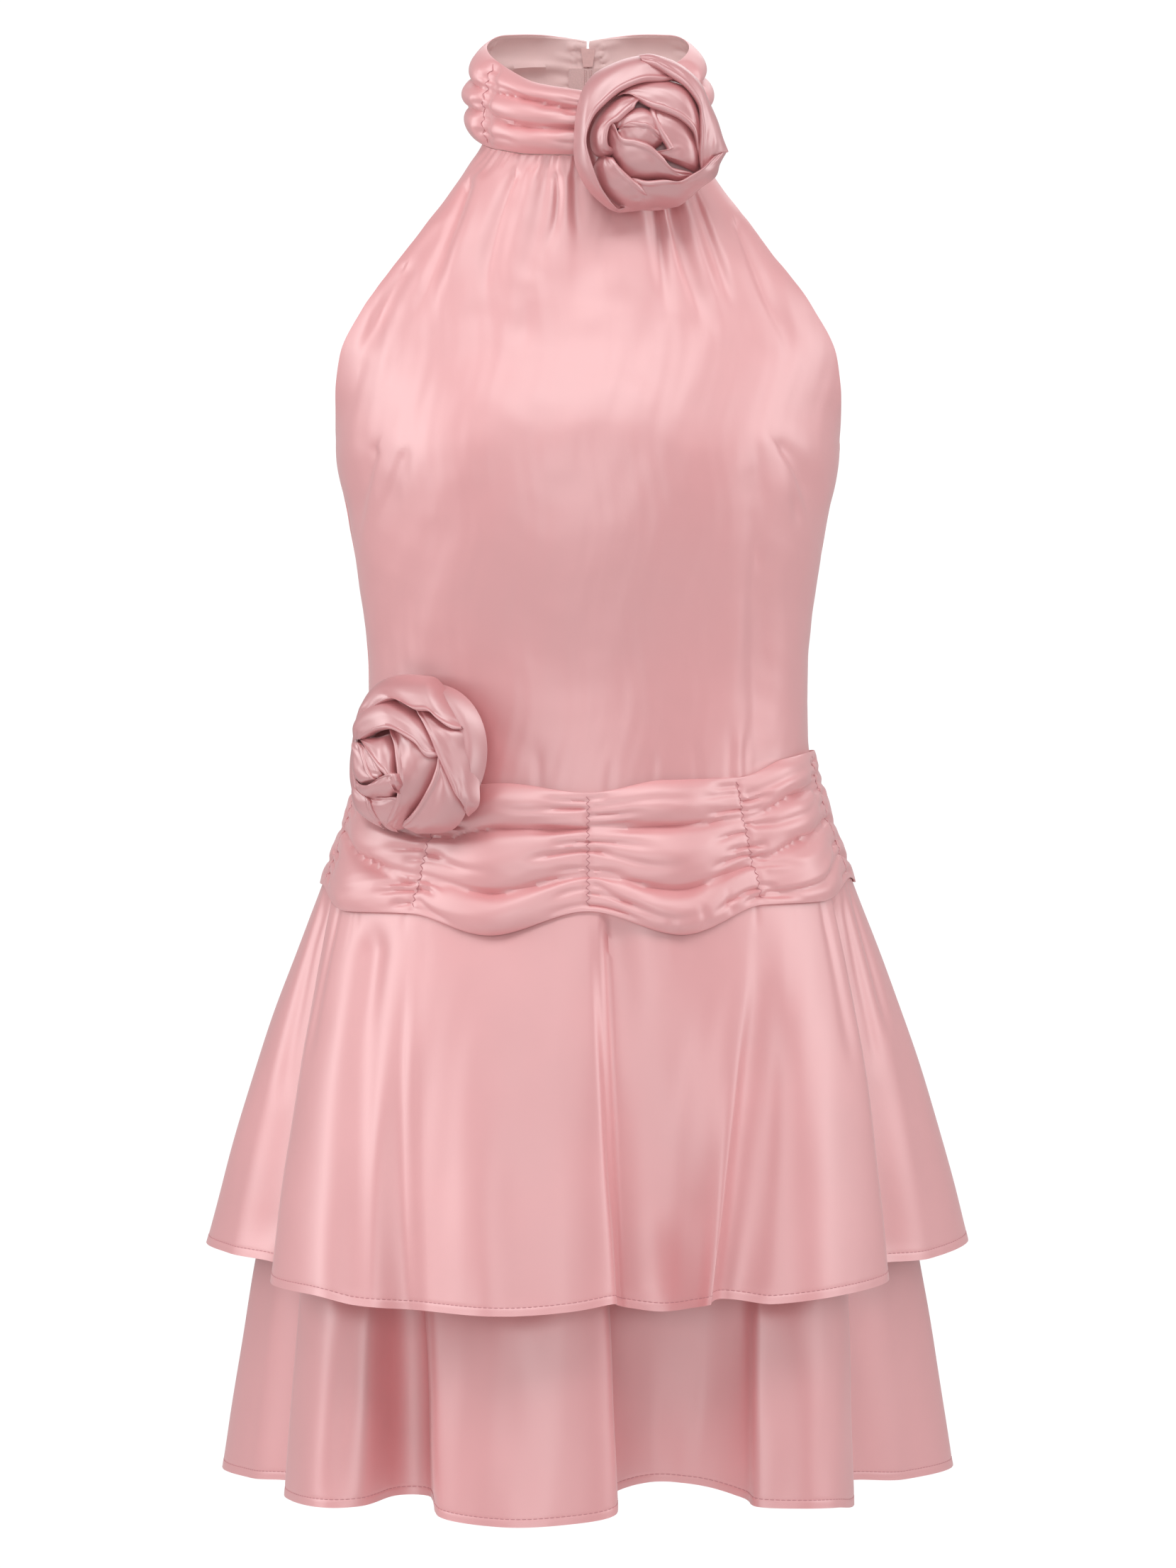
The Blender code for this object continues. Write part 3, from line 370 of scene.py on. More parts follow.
BAND_CREASES = table(
    Crease,
    (-84, 12, -112, 7, -145, 4, -1.0, 2.0, 3.0, 0.9, 0.2, 0.3),
    (-84, 62, -112, 52, -150, 42, -1.0, 2.0, 3.0, 0.9, 0.2, -0.3),
    (-90, 36, -120, 30, -150, 24, 0.6, 2.4, 3.0, 0.7, 0.2),
    (-82, 70, -60, 77, -38, 74, -0.8, 2.0, 3.0, 0.9, 0.1),
    (-82, 40, -60, 44, -36, 42, -0.6, 1.8, 2.6, 0.9, 0.1),
    (-50, 10, -30, 12, -4, 10, -0.5, 1.8, 2.2, 0.1, 0.9),
    (4, 9, 34, 7, 66, 10, -0.5, 1.8, 2.4, 0.9, 0.2),
    (4, 60, 28, 68, 60, 64, -0.8, 2.0, 3.0, 0.9, 0.1, 0.3),
    (4, 38, 26, 42, 50, 40, -0.6, 1.8, 2.6, 0.9, 0.1),
    (50, 62, 52, 70, 52, 80, -0.8, 1.6, 2.4, 0.2, 0.8),
    (66, 62, 66, 70, 68, 80, -0.7, 1.6, 2.4, 0.2, 0.8),
    (36, 66, 36, 74, 34, 82, -0.5, 1.6, 2.4, 0.2, 0.8),
    (90, 11, 118, 8, 156, 5, -0.9, 2.0, 3.0, 0.9, 0.2, -0.3),
    (92, 30, 120, 29, 150, 26, -0.9, 2.0, 3.0, 0.9, 0.2, 0.3),
    (90, 70, 122, 67, 158, 57, -1.6, 2.0, 3.4, 0.9, 0.4, 0.3),
    (94, 56, 122, 52, 150, 46, 0.6, 2.4, 3.0, 0.7, 0.2),
    (-180, 12, -210, 15, -245, 12, -0.6, 2.2, 3.0, 0.8, 0.1),
    (-182, 60, -215, 66, -250, 62, -0.8, 2.2, 3.0, 0.8, 0.1),
    (-270, 38, -310, 42, -370, 38, -0.6, 2.2, 3.0, 0.8, 0.1),
    (180, 14, 212, 11, 246, 14, -0.6, 2.2, 3.0, 0.8, 0.1),
    (178, 62, 214, 66, 250, 60, -0.8, 2.2, 3.0, 0.8, 0.1),
    (270, 40, 312, 36, 370, 40, -0.6, 2.2, 3.0, 0.8, 0.1),
)

# Columns where the bands are gathered: angle, reach and number of the pleats on each side, and seed
Ruche = namedtuple("Ruche", "deg reach pleats seed")
COLLAR_RUCHES = table(
    Ruche,
    (-172, 11, 7, 1), (-118, 11, 7, 2), (-63, 12, 8, 3), (-2, 14, 8, 4),
    (60, 11, 7, 5), (118, 11, 7, 6), (172, 11, 7, 7),
)
BAND_RUCHES = table(
    Ruche,
    (-172, 20, 8, 11), (-120, 20, 8, 12), (-80, 20, 8, 13), (-39, 22, 9, 14),
    (0, 24, 9, 15), (39, 24, 9, 16), (78, 20, 8, 17), (120, 20, 8, 18),
    (172, 20, 8, 19),
)

# Long folds of the tiers: angle and height of both ends, depth (negative sinks) and widths at both ends
# in millimetres, and how far one side is wider. The lower tier has the upper folds too, then its own.
TierFold = namedtuple("TierFold", "deg_top z_top deg_end z_end depth near far lean", defaults=(0.0,))
UPPER_FOLDS = table(
    TierFold,
    (-72.0, -0.446, -68.5, -0.650, -8.0, 5.0, 12.0, -0.75),
    (-78.5, -0.448, -76.0, -0.560, -1.6, 2.6, 4.0),
    (-64.5, -0.448, -63.5, -0.530, -1.2, 2.4, 3.5),
    (-50.0, -0.462, -51.0, -0.668, -6.5, 9.0, 20.0),
    (-38.5, -0.470, -38.5, -0.668, 1.6, 2.4, 4.0, 0.5),
    (-14.0, -0.540, -14.0, -0.668, -3.4, 12.0, 19.0),
    (4.5, -0.452, 5.0, -0.668, -7.0, 6.5, 13.0, 0.65),
    (17.0, -0.470, 18.0, -0.620, -3.0, 10.0, 17.0),
    (41.0, -0.480, 42.0, -0.668, -6.0, 9.0, 18.0, -0.2),
    (65.0, -0.446, 66.5, -0.660, -7.5, 5.0, 11.0, 0.75),
    (72.0, -0.448, 73.5, -0.540, -1.6, 2.4, 3.6),
    (58.5, -0.450, 59.5, -0.530, -1.2, 2.4, 3.4),
    (78.5, -0.446, 79.0, -0.520, -1.5, 2.4, 3.6),
    (106.0, -0.445, 108.0, -0.660, -6.0, 5.0, 12.0, 0.7),
    (127.0, -0.455, 128.0, -0.640, 2.0, 8.0, 12.0),
    (147.0, -0.450, 147.0, -0.660, -5.5, 6.0, 13.0, -0.5),
    (179.0, -0.455, 179.0, -0.560, -1.8, 5.0, 8.0),
    (196.0, -0.448, 197.0, -0.660, -5.5, 6.0, 13.0, 0.6),
    (215.0, -0.460, 216.0, -0.640, 2.0, 8.0, 12.0),
    (243.0, -0.446, 244.0, -0.660, -6.0, 5.0, 12.0, -0.7),
    (259.0, -0.448, 260.0, -0.540, -1.4, 3.0, 5.0),
)
LOWER_FOLDS = table(
    TierFold,
    (-68.0, -0.640, -68.0, -0.800, -5.5, 5.0, 9.0, -0.7),
    (-52.0, -0.670, -52.0, -0.780, -2.8, 8.0, 12.0),
    (-39.0, -0.640, -39.5, -0.800, -5.0, 5.0, 8.0, -0.7),
    (-18.0, -0.680, -17.0, -0.780, -2.4, 12.0, 16.0),
    (3.0, -0.640, 3.5, -0.800, -5.0, 5.0, 9.0, 0.7),
    (20.0, -0.690, 21.0, -0.780, 2.4, 10.0, 14.0),
    (42.0, -0.670, 43.0, -0.790, -3.0, 9.0, 13.0),
    (66.0, -0.640, 66.0, -0.800, -5.5, 5.0, 9.0, 0.7),
    (109.0, -0.640, 109.0, -0.790, -3.6, 6.0, 10.0),
    (146.0, -0.640, 146.0, -0.785, -3.4, 6.0, 10.0),
    (197.0, -0.640, 197.0, -0.785, -3.4, 6.0, 10.0),
    (244.0, -0.640, 244.0, -0.790, -3.6, 6.0, 10.0),
)

# Rosettes: centre of the back, direction they face, size, and the petals, outermost first
Rose = namedtuple("Rose", "centre facing_deg tilt_deg radius_x radius_z height")
NECK_ROSE = Rose((0.0356, -0.0698, -0.0045), 8.0, 7.0, 0.0450, 0.0460, 0.026)
HIP_ROSE = Rose((-0.0925, -0.0945, -0.3607), -40.0, 8.0, 0.0500, 0.0465, 0.027)

# A petal is a band between its tucked edge and its rolled lip: across, up and out of each in millimetres
LIP_RADIUS = 2.0
THIN_LIPS = {"centre top": 1.8, "bud": 1.6, "left rim": 1.6}
NECK_PETALS = {
    "outer left": (
        (15, 46, 3, 14, 35, 13), (3, 49, 4, 5, 35, 16), (-9, 48, 4, -7, 34, 18),
        (-21, 44, 4, -19, 29, 18), (-32, 38, 4, -29, 21, 19), (-39, 29, 4, -36, 13, 19),
        (-43, 16, 4, -40, 2, 18), (-45, -2, 4, -40, -9, 17), (-44, -16, 4, -36, -23, 16),
        (-37, -30, 3, -31, -33, 13), (-26, -40, 2, -23, -41, 8), (-19, -43, 2, -16, -41, 5),
    ),
    "outer right": (
        (-7, 48, 9, -6, 45, 13), (1, 49, 7, 2, 43, 16), (13, 46, 5, 11, 38, 17),
        (22, 41, 4, 20, 31, 19), (30, 33, 4, 27, 21, 19), (35, 22, 4, 29, 12, 19),
        (40, 11, 3, 30, 3, 18), (43, 1, 3, 30, -5, 17), (46, -7, 3, 29, -18, 13),
    ),
    "outer low": (
        (45, -7, 4, 37, -11, 13), (41, -14, 3, 31, -18, 17), (38, -22, 2, 25, -23, 19),
        (27, -30, 2, 17, -28, 19), (16, -39, 2, 7, -29, 18), (2, -40, 2, -3, -30, 17),
        (-9, -42, 2, -10, -29, 16), (-19, -43, 2, -17, -27, 12),
    ),
    "low left": (
        (-31, -11, 8, -28, -12, 14), (-34, -19, 7, -27, -16, 18), (-30, -30, 6, -24, -21, 20),
        (-23, -37, 4, -18, -27, 20), (-14, -41, 3, -11, -32, 18), (-3, -41, 2, -4, -35, 13),
    ),
    "top inner": (
        (-24, 20, 9, -19, 24, 15), (-15, 29, 10, -11, 23, 18), (-2, 33, 11, -2, 19, 21),
        (10, 33, 11, 7, 16, 22), (20, 29, 11, 16, 12, 22), (26, 20, 10, 23, 6, 20),
        (29, 8, 9, 26, -1, 17), (30, -6, 7, 28, -11, 12),
    ),
    "hook left": (
        (-3, 25, 12, -7, 21, 18), (-18, 23, 11, -15, 17, 21), (-29, 15, 10, -23, 10, 22),
        (-35, 5, 9, -29, 5, 22), (-36, -4, 9, -31, -2, 22), (-33, -11, 9, -30, -9, 20),
        (-26, -13, 10, -24, -11, 15),
    ),
    "right leaf": (
        (3, 18, 13, 0, 18, 17), (12, 14, 13, 2, 9, 21), (20, 10, 12, 5, 2, 22), (25, 2, 11, 10, -6, 21),
        (28, -8, 10, 10, -9, 21), (28, -16, 9, 1, -11, 20), (26, -21, 8, -4, -10, 17),
    ),
    "lower leaf": (
        (-29, -5, 11, -27, 7, 18), (-25, -11, 11, -24, 2, 21), (-21, -18, 11, -20, -6, 23),
        (-17, -24, 10, -12, -8, 24), (-7, -26, 10, -4, -11, 24), (4, -26, 9, 4, -17, 22),
        (16, -27, 9, 12, -22, 19), (24, -23, 9, 23, -22, 13),
    ),
    "centre top": (
        (-25, 2, 13, -22, 3, 18), (-24, 9, 14, -18, 5, 21), (-16, 14, 15, -10, 5, 23),
        (-6, 16, 16, -3, 4, 23), (2, 12, 15, 3, 1, 21), (6, 4, 14, 5, -3, 18),
    ),
    "bud": (
        (-23, -3, 14, -21, 2, 19), (-19, -9, 14, -15, 4, 22), (-9, -10, 15, -8, 3, 24),
        (-1, -9, 15, -3, 2, 24), (5, -5, 15, 3, -2, 22),
    ),
}
HIP_PETALS = {
    "top outer": (
        (-49, 15, 12, -36, 20, 20), (-46, 26, 10, -25, 27, 22), (-41, 36, 8, -15, 31, 23),
        (-33, 43, 6, -7, 30, 22), (-20, 46, 5, 2, 27, 20), (-5, 46, 4, 11, 27, 18),
        (5, 44, 3, 18, 23, 17), (18, 32, 2, 25, 19, 14), (27, 22, 2, 31, 17, 9),
    ),
    "right outer": (
        (9, 25, 8, 1, 27, 16), (25, 17, 4, 11, 19, 17), (34, 14, 2, 19, 11, 18), (37, 5, 2, 25, 1, 17),
        (41, -4, 1, 31, -9, 15), (42, -15, 1, 35, -17, 13), (43, -27, 1, 37, -24, 11),
        (36, -34, 1, 37, -29, 7),
    ),
    "low right": (
        (21, 1, 11, 23, 1, 16), (29, -12, 9, 25, -8, 17), (34, -22, 7, 23, -16, 17),
        (35, -32, 3, 18, -24, 16), (26, -42, 2, 11, -32, 14), (12, -45, 2, 3, -39, 12),
        (-1, -46, 2, -7, -43, 8),
    ),
    "second": (
        (-47, 5, 14, -35, 6, 22), (-47, 16, 13, -27, 11, 25), (-39, 26, 13, -16, 14, 27),
        (-23, 32, 14, -8, 15, 27), (-8, 28, 14, 1, 12, 25), (4, 21, 13, 9, 8, 23),
        (13, 13, 12, 15, 2, 20), (19, 4, 11, 21, 1, 15),
    ),
    "long middle": (
        (1, 12, 14, -14, 14, 19), (13, 4, 13, -5, 6, 22), (20, -3, 12, 0, -4, 24),
        (18, -12, 10, 3, -15, 24), (12, -23, 8, 2, -23, 22), (3, -32, 6, -1, -31, 20),
        (-7, -42, 4, -10, -39, 15), (-16, -45, 3, -19, -43, 9),
    ),
    "inner": (
        (-39, 7, 18, -34, 5, 22), (-24, 8, 18, -22, -1, 26), (-15, 10, 17, -13, -7, 28),
        (-8, 2, 17, -7, -11, 28), (-5, -9, 17, -3, -17, 27), (-4, -17, 16, -1, -21, 26),
        (-6, -24, 14, -4, -23, 20),
    ),
    "leaf left": (
        (-46, 4, 16, -37, 4, 22), (-45, -4, 15, -31, -4, 24), (-44, -12, 14, -26, -12, 25),
        (-40, -18, 13, -21, -17, 25), (-34, -22, 13, -22, -18, 21),
    ),
    "leaf middle": (
        (-38, 4, 19, -34, 3, 22), (-34, -4, 19, -24, -3, 25), (-29, -12, 19, -16, -11, 27),
        (-24, -18, 19, -14, -16, 26),
    ),
    "cuff": (
        (-45, -16, 12, -30, -21, 21), (-40, -24, 12, -21, -20, 25), (-31, -28, 13, -12, -17, 28),
        (-21, -28, 14, -3, -15, 29), (-11, -27, 15, 0, -19, 28), (-7, -24, 15, -1, -23, 24),
    ),
    "left rim": (
        (-43, 24, 9, -37, 22, 16), (-49, 14, 8, -42, 13, 17), (-51, 2, 7, -44, 2, 17),
        (-52, -10, 7, -45, -9, 16), (-52, -20, 5, -44, -19, 14), (-49, -31, 3, -41, -29, 12),
        (-43, -38, 2, -36, -36, 9),
    ),
    "low left": (
        (-48, -17, 9, -37, -24, 15), (-50, -25, 7, -31, -28, 17), (-47, -34, 5, -29, -34, 16),
        (-39, -40, 3, -27, -39, 13), (-26, -45, 2, -25, -43, 8),
    ),
    "low middle": (
        (-35, -25, 12, -31, -27, 15), (-32, -34, 9, -18, -28, 18), (-29, -41, 5, -7, -28, 19),
        (-22, -45, 3, -4, -31, 17), (-16, -46, 2, -11, -38, 12),
    ),
}


# Curves and fields

def curve(rows, key, value, at):
    """Height of a smooth curve through the rows' (key, value) points, held flat beyond both ends."""
    rows = sorted(rows, key=lambda row: getattr(row, key))
    x = np.array([getattr(row, key) for row in rows])
    y = np.array([getattr(row, value) for row in rows])
    at = np.clip(at, x[0], x[-1])
    span = np.diff(x)
    slope = np.diff(y) / span
    turning = slope[:-1] * slope[1:]
    total = np.where(turning > 0, slope[:-1] + slope[1:], 1.0)
    inner = np.where(turning > 0, 2 * turning / total, 0.0)
    tangent = np.concatenate([slope[:1], inner, slope[-1:]])
    i = np.clip(np.searchsorted(x, at, side="right") - 1, 0, len(x) - 2)
    t = (at - x[i]) / span[i]
    return (
        y[i]
        + span[i] * tangent[i] * t * (1 - t) ** 2
        + (y[i + 1] - y[i]) * t * t * (3 - 2 * t)
        - span[i] * tangent[i + 1] * t * t * (1 - t)
    )


def lerp(a, b, t):
    return a + (b - a) * t


def ease(t):
    t = np.clip(t, 0.0, 1.0)
    return t * t * (3 - 2 * t)


def wrap_degrees(deg):
    return (deg + 180.0) % 360.0 - 180.0


def stack(x, y, z):
    return np.stack(np.broadcast_arrays(x, y, z), axis=-1)


def pair(x, y):
    return np.stack(np.broadcast_arrays(x, y), axis=-1)


def unit(vectors):
    length = np.linalg.norm(vectors, axis=-1, keepdims=True)
    return vectors / np.maximum(length, 1e-12)


def drift(a, b, size, seed):
    """Smooth uneven rise and fall from -1 to 1 over a flat layout, in waves of about this size."""
    chance = np.random.default_rng(seed)
    bend_a = a + 0.35 * size * np.sin(b / (0.9 * size) + chance.uniform(0, 6.28))
    bend_b = b + 0.35 * size * np.sin(a / (1.1 * size) + chance.uniform(0, 6.28))
    total = 0.0
    for _ in range(5):
        turn = chance.uniform(0, math.pi)
        length = size * chance.uniform(0.7, 1.6)
        start = chance.uniform(0, 6.28)
        along = bend_a * math.cos(turn) + bend_b * math.sin(turn)
        total = total + np.sin(2 * math.pi * along / length + start)
    return total / 3.2


# Slow unevenness of the cloth: height in millimetres, factors on the places across and down, size of the
# waves, and what is added to the seed
Wave = namedtuple("Wave", "height a b size step")
BODICE_WAVES = (Wave(0.42, 1.0, 0.45, 26, 0), Wave(0.14, 1.0, 0.6, 11, 1))
BAND_WAVES = (Wave(0.30, 0.35, 1.0, 14, 0), Wave(0.10, 0.5, 1.0, 6, 1))
TIER_WAVES = (Wave(0.35, 1.0, 0.25, 60, 0), Wave(0.32, 1.0, 0.3, 24, 4))
PETAL_WAVES = (Wave(0.20, 0.25, 1.0, 7, 0), Wave(0.16, 0.35, 1.0, 3.6, 1))


def uneven(lift, waves, a, b, seed, fade=1.0):
    """The lift of each place of a flat layout, with slow waves added where fade lets them."""
    for wave in waves:
        lift = lift + wave.height * drift(wave.a * a, wave.b * b, wave.size, seed + wave.step) * fade
    return lift


def crease_field(creases, a, b, softness=1.0):
    """How far the creases lift or sink each place of a flat layout, all in millimetres."""
    total = np.zeros(np.shape(a))
    for crease in creases:
        steps = np.linspace(0, 1, 11)
        first = (1 - steps) * (1 - 2 * steps)
        middle = 4 * steps * (1 - steps)
        last = steps * (2 * steps - 1)
        line_a = first * crease.a0 + middle * crease.a1 + last * crease.a2
        line_b = first * crease.b0 + middle * crease.b1 + last * crease.b2
        reach = 3.2 * softness * max(crease.near, crease.far) * (1 + abs(crease.lean))
        near = (
            (a > line_a.min() - reach) & (a < line_a.max() + reach)
            & (b > line_b.min() - reach) & (b < line_b.max() + reach)
        )
        if not near.any():
            continue
        here_a = a[near]
        here_b = b[near]
        best = np.full(here_a.shape, 1e9)
        along = np.zeros(here_a.shape)
        side = np.zeros(here_a.shape)
        for k in range(len(steps) - 1):
            da = line_a[k + 1] - line_a[k]
            db = line_b[k + 1] - line_b[k]
            length = da * da + db * db
            t = np.clip(((here_a - line_a[k]) * da + (here_b - line_b[k]) * db) / length, 0, 1)
            off_a = here_a - line_a[k] - t * da
            off_b = here_b - line_b[k] - t * db
            far = off_a**2 + off_b**2
            closer = far < best
            best = np.where(closer, far, best)
            along = np.where(closer, (k + t) / (len(steps) - 1), along)
            side = np.where(closer, np.sign(da * off_b - db * off_a), side)
        width = softness * lerp(crease.near, crease.far, along) * (1 + crease.lean * side)
        strength = np.where(
            along < 0.5,
            lerp(crease.start, 1.0, ease(2 * along)),
            lerp(1.0, crease.end, ease(2 * along - 1)),
        )
        total[near] += crease.depth * strength * np.exp(-best / width**2)
    return total


# Surfaces, the same forms as the CAD model's

def front_depth(z):
    """Depth of the front at this height, with the turn at the bust spread softly up and down."""
    shares = np.array([-2.0, -1.4, -0.8, -0.3, 0.3, 0.8, 1.4, 2.0])
    weights = np.exp(-0.5 * shares**2)
    total = 0.0
    for share, weight in zip(shares, weights):
        total = total + weight * curve(BODY, "z", "front", z + BUST_SOFTNESS * share)
    return lerp(curve(BODY, "z", "front", z), total / weights.sum(), ease((-z - 0.05) / 0.05))


def body_ring(deg, z, stand=0.0):
    """Point of the dress's outer body at this angle and height, moved out by stand."""
    half_width = curve(BODY, "z", "half_width", z)
    angle = np.radians(deg)
    across = np.sin(angle)
    along = -np.cos(angle)
    depth = np.where(along < 0, curve(BODY, "z", "front", z), curve(BODY, "z", "back", z))
    out = unit(stack(across / half_width, along / depth, 0.0))
    return stack(half_width * across, depth * along, z) + out * np.expand_dims(stand, -1)


def gather_depth(gathers, x, z):
    depth = 0.0
    for fold in gathers:
        share = np.clip((fold.z_top - z) / (fold.z_top - fold.z_end), 0.0, 1.0)
        centre = lerp(fold.x_top, fold.x_end, share**0.9)
        width = fold.width * lerp(0.55, 1.25, share)
        fade = ease(3.0 * share + 0.35) * (1 - share) ** 0.8
        depth = depth + fold.depth * fade * np.exp(-(((x - centre) / width) ** 2))
    return depth


def bust_fullness(x, z):
    rise = np.exp(-(((z - BUST_Z) / BUST_HEIGHT) ** 2))
    return BUST_FULLNESS * rise * np.exp(-(((abs(x) - BUST_X) / BUST_WIDTH) ** 2))


def collar_seam_z(deg):
    return curve(COLLAR, "deg", "base", abs(wrap_degrees(deg)))


def band_top_z(deg):
    return curve(WAISTBAND, "deg", "top", wrap_degrees(deg))


def band_bottom_z(deg):
    return curve(WAISTBAND, "deg", "bottom", wrap_degrees(deg))


def panel_height(deg, v):
    top = collar_seam_z(deg) - SEAM_GAP
    bottom = band_top_z(deg) - TUCK
    return np.where(v < 0.5, lerp(top, UNDERARM_Z, 2 * v), lerp(UNDERARM_Z, bottom, 2 * v - 1))


def front_surface(u, v):
    """Front panel: u runs from -1 at the right side seam or armhole to 1 at the left one."""
    z = panel_height(90.0 * u, v)
    half_width = curve(BODY, "z", "half_width", z)
    depth = front_depth(z)
    edge = curve(ARMHOLE, "z", "front_edge", z) - SEAM_GAP / 2
    arc = np.radians(curve(ARMHOLE, "z", "arc", z))
    x = half_width * np.sin(u * arc) / np.sin(arc)
    y = -depth + (depth + edge) * (1 - np.cos(u * arc)) / (1 - np.cos(arc))
    y = y + gather_depth(FRONT_GATHERS, x, z) * ease(4 * (1 - abs(u)) + 0.3)
    y = y - bust_fullness(x, z) * ease(3 * (1 - abs(u)))
    return stack(x, y, z)


def back_surface(u, v):
    """Left half of the back: u runs from 0 at the side seam or armhole to 1 at the centre back zip."""
    z = panel_height(lerp(90.0, 180.0, u), v)
    half_width = curve(BODY, "z", "half_width", z) - curve(ARMHOLE, "z", "draw_in", z)
    depth = curve(BODY, "z", "back", z)
    edge = curve(ARMHOLE, "z", "back_edge", z) + SEAM_GAP / 2
    arc = np.radians(curve(ARMHOLE, "z", "arc", z))
    turn = (1 - u) * arc
    x = np.maximum(BACK_GAP_HALF, half_width * np.sin(turn) / np.sin(arc))
    y = depth - (depth - edge) * (1 - np.cos(turn)) / (1 - np.cos(arc))
    y = y - gather_depth(BACK_GATHERS, x, z) * ease(4 * u + 0.3)
    return stack(x, y, z)


def puff(v, top, bottom):
    """One puff of a ruched band: it stands out most a little above its middle."""
    share = np.clip((v - top) / (bottom - top), 0, 1)
    return np.clip(np.sin(math.pi * share**PUFF_DROOP), 0, 1) ** PUFF_FULLNESS


def puffs(valleys, deg, v):
    """Puffs across a ruched band, from 0 in a valley to 1 on a crest."""
    first = curve(valleys, "deg", "first", deg)
    second = curve(valleys, "deg", "second", deg)
    return puff(v, 0.0, first) + puff(v, first, second) + puff(v, second, 1.0)


def collar_surface(deg, v):
    """Ruched collar: v is 0 at its top fold and 1 at the seam with the bodice."""
    angle = np.radians(deg)
    turn = abs(deg)
    top = curve(COLLAR, "deg", "top", turn)
    seam = collar_seam_z(deg)
    base = body_ring(deg, seam)
    depth = np.where(turn < 90, COLLAR_TOP_FRONT, COLLAR_TOP_BACK)
    rim = stack(COLLAR_TOP_HALF_WIDTH * np.sin(angle), -depth * np.cos(angle), top)
    out = stack(np.sin(angle), -np.cos(angle), 0.0)
    swell = curve(COLLAR, "deg", "swell", turn) * np.clip(np.sin(math.pi * v), 0, 1) ** 0.8
    height = PUFF_HEIGHT * curve(COLLAR, "deg", "puff", turn) * puffs(COLLAR_VALLEYS, deg, v)
    point = lerp(rim, base, v[..., None])
    point[..., 2] = lerp(top, seam, v)
    point[..., 2] -= PUFF_SAG * height
    return point + out * (swell + height)[..., None]


def band_surface(deg, v):
    """Ruched waistband: v is 0 at its top edge and 1 at its bottom edge."""
    z = lerp(band_top_z(deg), band_bottom_z(deg), v)
    flatter = 1 - SIDE_FLATNESS * np.exp(-(((abs(deg) - 94) / 24) ** 2))
    height = PUFF_HEIGHT * flatter * curve(WAISTBAND, "deg", "puff", deg) * puffs(BAND_VALLEYS, deg, v)
    point = body_ring(deg, z, lerp(BAND_STAND_TOP, BAND_STAND_BOTTOM, v) + height)
    point[..., 2] -= PUFF_SAG * height
    return point


def hem_line(hem, s):
    """Angle at the waist seam and hem point, s rows along the hem table."""
    count = len(hem)
    i = np.floor(s).astype(int)
    t = (s - i)[..., None]
    places = np.array([[row.x, row.y, row.z] for row in hem])
    degrees = np.array([row.deg for row in hem])
    p0, p1, p2, p3 = (places[(i + k) % count] for k in (-1, 0, 1, 2))
    span = np.linalg.norm(p2 - p1, axis=-1, keepdims=True)
    start = (p2 - p0) * 0.5
    end = (p3 - p1) * 0.5
    start = start * np.minimum(1.0, 1.3 * span / np.linalg.norm(start, axis=-1, keepdims=True))
    end = end * np.minimum(1.0, 1.3 * span / np.linalg.norm(end, axis=-1, keepdims=True))
    point = (
        p1 * (1 + 2 * t) * (1 - t) ** 2
        + start * t * (1 - t) ** 2
        + p2 * t * t * (3 - 2 * t)
        - end * t * t * (1 - t)
    )
    rise = (degrees[(i + 1) % count] - degrees[i % count]) % 360.0
    return degrees[i % count] + rise * (s - i), point


def tier_surface(tier, s, v):
    """Tier of the skirt: v is -1 at its top edge, 0 at the bottom of the waistband and 1 at the hem."""
    deg, hem = hem_line(tier.hem, s)
    seam_z = band_bottom_z(deg)
    angle = np.radians(deg)
    depth = np.where(np.cos(angle) > 0, tier.front, tier.back)
    cone = stack(tier.half_width * np.sin(angle), -depth * np.cos(angle), hem[..., 2])
    above = body_ring(deg, seam_z - TUCK * np.minimum(v, 0), tier.stand)
    top = body_ring(deg, seam_z, tier.stand)
    down = np.clip(v, 0.0, 1.0)
    flare = (down + tier.flare * np.sin(math.pi * down))[..., None]
    point = lerp(top, cone, flare) + (hem - cone) * down[..., None] ** tier.fold_power
    point[..., 2] = lerp(seam_z, hem[..., 2], down)
    return np.where(v[..., None] <= 0, above, point)


# Mesh building

def grid_normals(grid, closed):
    """Outward normals of a grid whose rows run down and whose columns run to the wearer's left."""
    down = np.gradient(grid, axis=0)
    if closed:
        across = np.roll(grid, -1, axis=1) - np.roll(grid, 1, axis=1)
    else:
        across = np.gradient(grid, axis=1)
    return unit(np.cross(down, across))


def quads(rows, columns, start, closed):
    i, j = np.meshgrid(np.arange(rows - 1), np.arange(columns if closed else columns - 1), indexing="ij")
    k = (j + 1) % columns
    corners = (i * columns + j, (i + 1) * columns + j, (i + 1) * columns + k, i * columns + k)
    return np.stack(corners, axis=-1).reshape(-1, 4) + start


def strip(near, far, closed):
    """Quads between two lines of point numbers."""
    near = np.asarray(near)
    far = np.asarray(far)
    if closed:
        near = np.append(near, near[0])
        far = np.append(far, far[0])
    return np.stack([near[:-1], near[1:], far[1:], far[:-1]], axis=-1)


